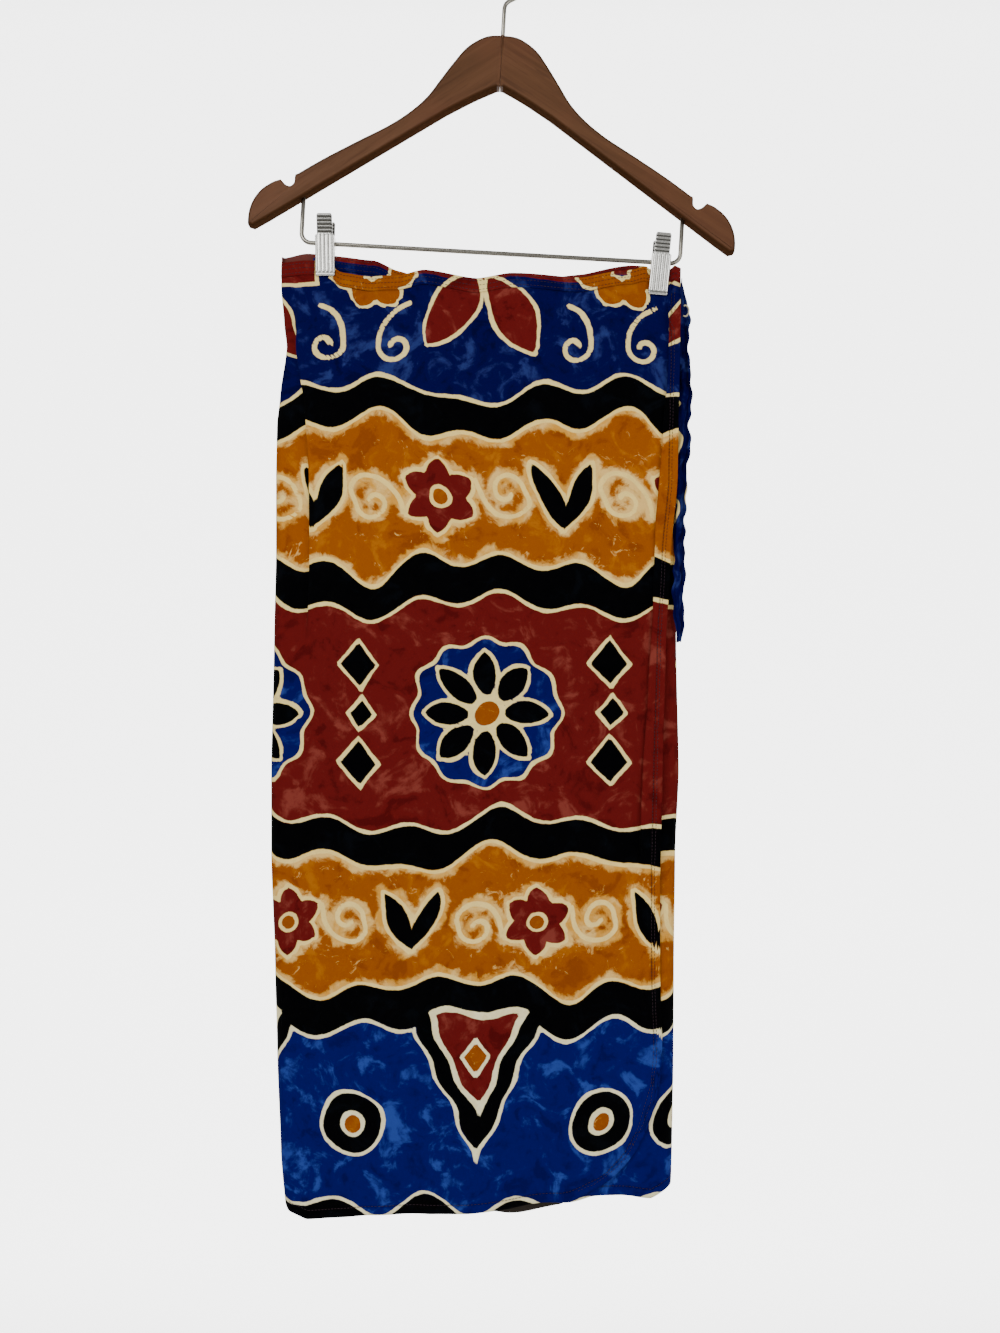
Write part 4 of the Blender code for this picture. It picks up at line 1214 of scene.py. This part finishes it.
def plated_steel(name, shaded_grooves, bright, dull):
    """Bright plating, faintly brushed; a grooved sheet gets painted shade in its flutes, ridges, lip and
    plate.
    """
    n = Nodes(name)
    brush = n.noise(n.place((1, 1, 0.15)), 900.0, 3.0, 0.5)
    colour = n.mix(n.noise(n.place(), 90.0, 3.0, 0.6), bright, dull)
    if shaded_grooves:
        # Painted shade towards (52, 50, 44) in the flutes, ridges, lip and ridged plate
        colour = n.mix(n.field("painted_shade"), colour, (52, 50, 44))
    n.shade(
        Base_Color=colour, Metallic=1.0, Roughness=n.range(brush, 0.3, 0.7, 0.2, 0.34, "LINEAR"),
        Normal=n.bump(brush, 0.05, 0.0002),
    )
    return n.material


# The wire is painted darker than the sheet of the same plating: painted shade for its dark look
chrome_wire = plated_steel("plated_wire", False, (150, 146, 136), (128, 124, 114))
chrome_sheet = plated_steel("plated_sheet", True, (236, 235, 230), (214, 212, 205))
add_arm(-1, "wood_arm_left", math.radians(33))
add_arm(1, "wood_arm_right", math.radians(-33))
for name, route, radius, node in (
    ("wire_hook", hook_route(), HOOK_WIRE_RADIUS, "hanger_hook"),
    ("wire_bar", bar_route(), BAR_WIRE_RADIUS, "trouser_bar"),
):
    mesh = solid_mesh(name, *tube(route, radius, 20))
    add_piece(name, mesh, [chrome_wire], node)
# Painted shade on the ridged plates: heavier on the left clip than on the right
for side, x, tilt, painted_plate_shade in (
    ("left", CLIP_LEFT_X, -HANGER_TILT, 0.66),
    ("right", CLIP_RIGHT_X, CLIP_RIGHT_TILT, 0.3),
):
    place = HANGER_FRAME @ Matrix.Translation(Vector((x, 0, BAR_Z)) * MM) @ Matrix.Rotation(tilt, 4, "Y")
    add_jaw(f"jaw_{side}_front", -1, CLIP_FRONT_EAR, place, painted_plate_shade)
    add_jaw(f"jaw_{side}_back", 1, CLIP_BACK_EAR, place, painted_plate_shade)
    add_spring(f"coil_{side}", place)

# Tie: close to the stations of the solid, but finer, with small crumples
TIE_WALL = 0.7
TIE_STATIONS = table(
    "x y z width turn crumple",
    (158.6, -3.4, -296, 5, 82, 0), (159.3, -3, -306, 7.5, 62, 0.4), (161.6, -0.4, -318, 9, 45, 1.2),
    (161.6, 1.5, -336, 11, 10, 2.2), (161.2, 1, -365, 10, -20, 2.4), (163.3, 0, -409, 11, 15, 2.4),
    (161.2, -1, -440, 10.5, 30, 2.2), (159.1, -4.6, -480, 9.5, -10, 2.4),
    (157.2, -5.8, -494, 9.6, -8, 2.4), (157.4, -8, -520, 8.2, -25, 2.2),
    (156, -10.5, -560, 8.6, 10, 2.4), (155.7, -11.5, -600, 8, 20, 2),
    (155.4, -11.5, -626, 3.6, 10, 1.2),
)
TIE_ROWS = 330
TIE_COLUMNS = 30
TIE_CUT = 20.0
TIE_FULL_CRUMPLE = 2.4
TIE_SPREAD = 1.2
TIE_INSET = 1.3
TIE_RIDGES = table("height times slant shift sway", (0.6, 1.9, 37, 0, 11), (0.3, 3.6, -23, 0.3, 17))
# The tie takes its print from the dark blue near the waist: real print, chosen so its dark navy also stands
# for the shade it hangs in
TIE_PRINT_U = -608
TIE_PRINT_V = 98
LOOP_ROUTE = [
    (160.6, -2.9, -320.0), (162.8, -2.9, -319.6), (165.0, -2.4, -322.4),
    (164.8, -2.0, -326.6), (162.6, -1.8, -329.0), (160.2, -2.0, -328.6),
]
LOOP_RADIUS = 0.75


def tie_grid():
    """The tie gathered lengthwise into ridges, and its flat place in the print."""
    last = len(TIE_STATIONS) - 1
    across = np.linspace(-0.5, 0.5, TIE_COLUMNS + 1)
    points, u = [], []
    for place in np.linspace(0, last, TIE_ROWS + 1):
        index = min(int(place), last - 1)
        share = place - index
        blend = 0.4 * share + 0.6 * float(smooth(share))
        a, b = TIE_STATIONS[index], TIE_STATIONS[index + 1]
        x, y, _, width, turn, crumple = (p + (q - p) * blend for p, q in zip(a, b))
        z = a.z + (b.z - a.z) * share
        loosen = crumple / TIE_FULL_CRUMPLE
        width = TIE_SPREAD * width * (1 + loosen * wave(z, 41, (1, 0.13, 3), (2.3, 0.1, 9)))
        x = x + loosen * (wave(z, 57, (1, 0.9, 14), (2.6, 0.5, 0)) - TIE_INSET)
        turn = math.radians(turn + loosen * wave(z, 49, (1, 16, 20)))
        ridge = crumple * np.cos(3 * math.pi * (across + 0.5)) * 0.5
        for row in TIE_RIDGES:
            phase = 2 * math.pi * (row.times * across + z / row.slant + row.shift)
            ridge = ridge + loosen * row.height * np.cos(phase + math.sin(z / row.sway))
        flat = width * across + loosen * 0.25 * np.sin(2 * math.pi * (3 * across + z / 31))
        points.append(np.stack([
            x + flat * math.cos(turn) - ridge * math.sin(turn),
            y + flat * math.sin(turn) + ridge * math.cos(turn),
            z + loosen * wave(across, 1.0, (1, 0.6, 0.2)),
        ], 1))
        u.append(0 * across + TIE_PRINT_U - z)
    return np.array(points), np.array(u), np.tile(TIE_PRINT_V + TIE_CUT * across, (TIE_ROWS + 1, 1))


points, u, v = tie_grid()
turned_tie = TIE_CUT / 2 - np.abs(v - TIE_PRINT_V) + TURNED_EDGE - 4
mesh = grid_mesh("tie", points, u, v, -1, turned_tie.ravel())
tie = add_piece("tie", mesh, cloth, "waist_tie", TIE_WALL)
mesh = solid_mesh("tie_loop", *tube(smooth_line(LOOP_ROUTE, 6), LOOP_RADIUS, 10), Matrix.Identity(4))
loop = add_piece("tie_loop", mesh, [thread_cream])
run = (TIE_STATIONS[0].z - TIE_STATIONS[-1].z) * MM

# Floor and backdrop in one pale sweep, far enough behind to stay evenly lit
FLOOR_Z = -2.3
FLOOR_NEAR_Y = -4.0
SWEEP_RADIUS = 0.9
WALL_Y = 2.2
WALL_TOP_Z = 4.0
SWEEP_HALF_WIDTH = 6.0
BACKDROP_GLOW = 3.9
bend = [(WALL_Y - SWEEP_RADIUS * (1 - s), FLOOR_Z + SWEEP_RADIUS * (1 - c)) for c, s in arc(0, 90, 16)]
profile = [(FLOOR_NEAR_Y, FLOOR_Z), *bend, (WALL_Y, WALL_TOP_Z)]
count = len(profile)
corners = [(x, y, z) for x in (-SWEEP_HALF_WIDTH, SWEEP_HALF_WIDTH) for y, z in profile]
mesh = bpy.data.meshes.new("floor")
mesh.from_pydata(corners, [], [(k, k + count, k + count + 1, k + 1) for k in range(count - 1)])
mesh.shade_smooth()
floor = new_object("floor", mesh)
pale = Nodes("pale_floor")
spot = pale.parts(pale.place())
aside = pale.math("ABSOLUTE", spot[0])
glow = pale.times(pale.range(aside, 1.45, 2.0, 1.0, 0.0), pale.range(spot[1], 0.9, 1.9))
glow = pale.times(glow, pale.range(spot[2], 1.2, 1.9, 1.0, 0.0))
pale.shade(
    Base_Color=(0.86, 0.86, 0.86, 1), Roughness=0.9, Emission_Color=(1, 1, 1, 1),
    Emission_Strength=pale.times(glow, BACKDROP_GLOW),
)
mesh.materials.append(pale.material)
floor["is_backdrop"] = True

world = bpy.data.worlds.new("studio")
bpy.context.scene.world = world
world.use_nodes = True
background = world.node_tree.nodes["Background"]
background.inputs["Color"].default_value = (1, 1, 1, 1)
background.inputs["Strength"].default_value = 0.52


def add_light(name, place, aim, size, power):
    data = bpy.data.lights.new(name, "AREA")
    data.shape = "RECTANGLE"
    data.size, data.size_y = size
    data.energy = power
    light = new_object(name, data)
    light.location = place
    light.rotation_euler = (Vector(aim) - Vector(place)).to_track_quat("-Z", "Y").to_euler()


add_light("key", (-1.1, -1.9, 0.4), (0, 0, -0.6), (1.4, 1.4), 36)
add_light("fill", (1.5, -1.6, -0.4), (0, 0, -0.7), (1.6, 1.6), 19)

low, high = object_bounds()
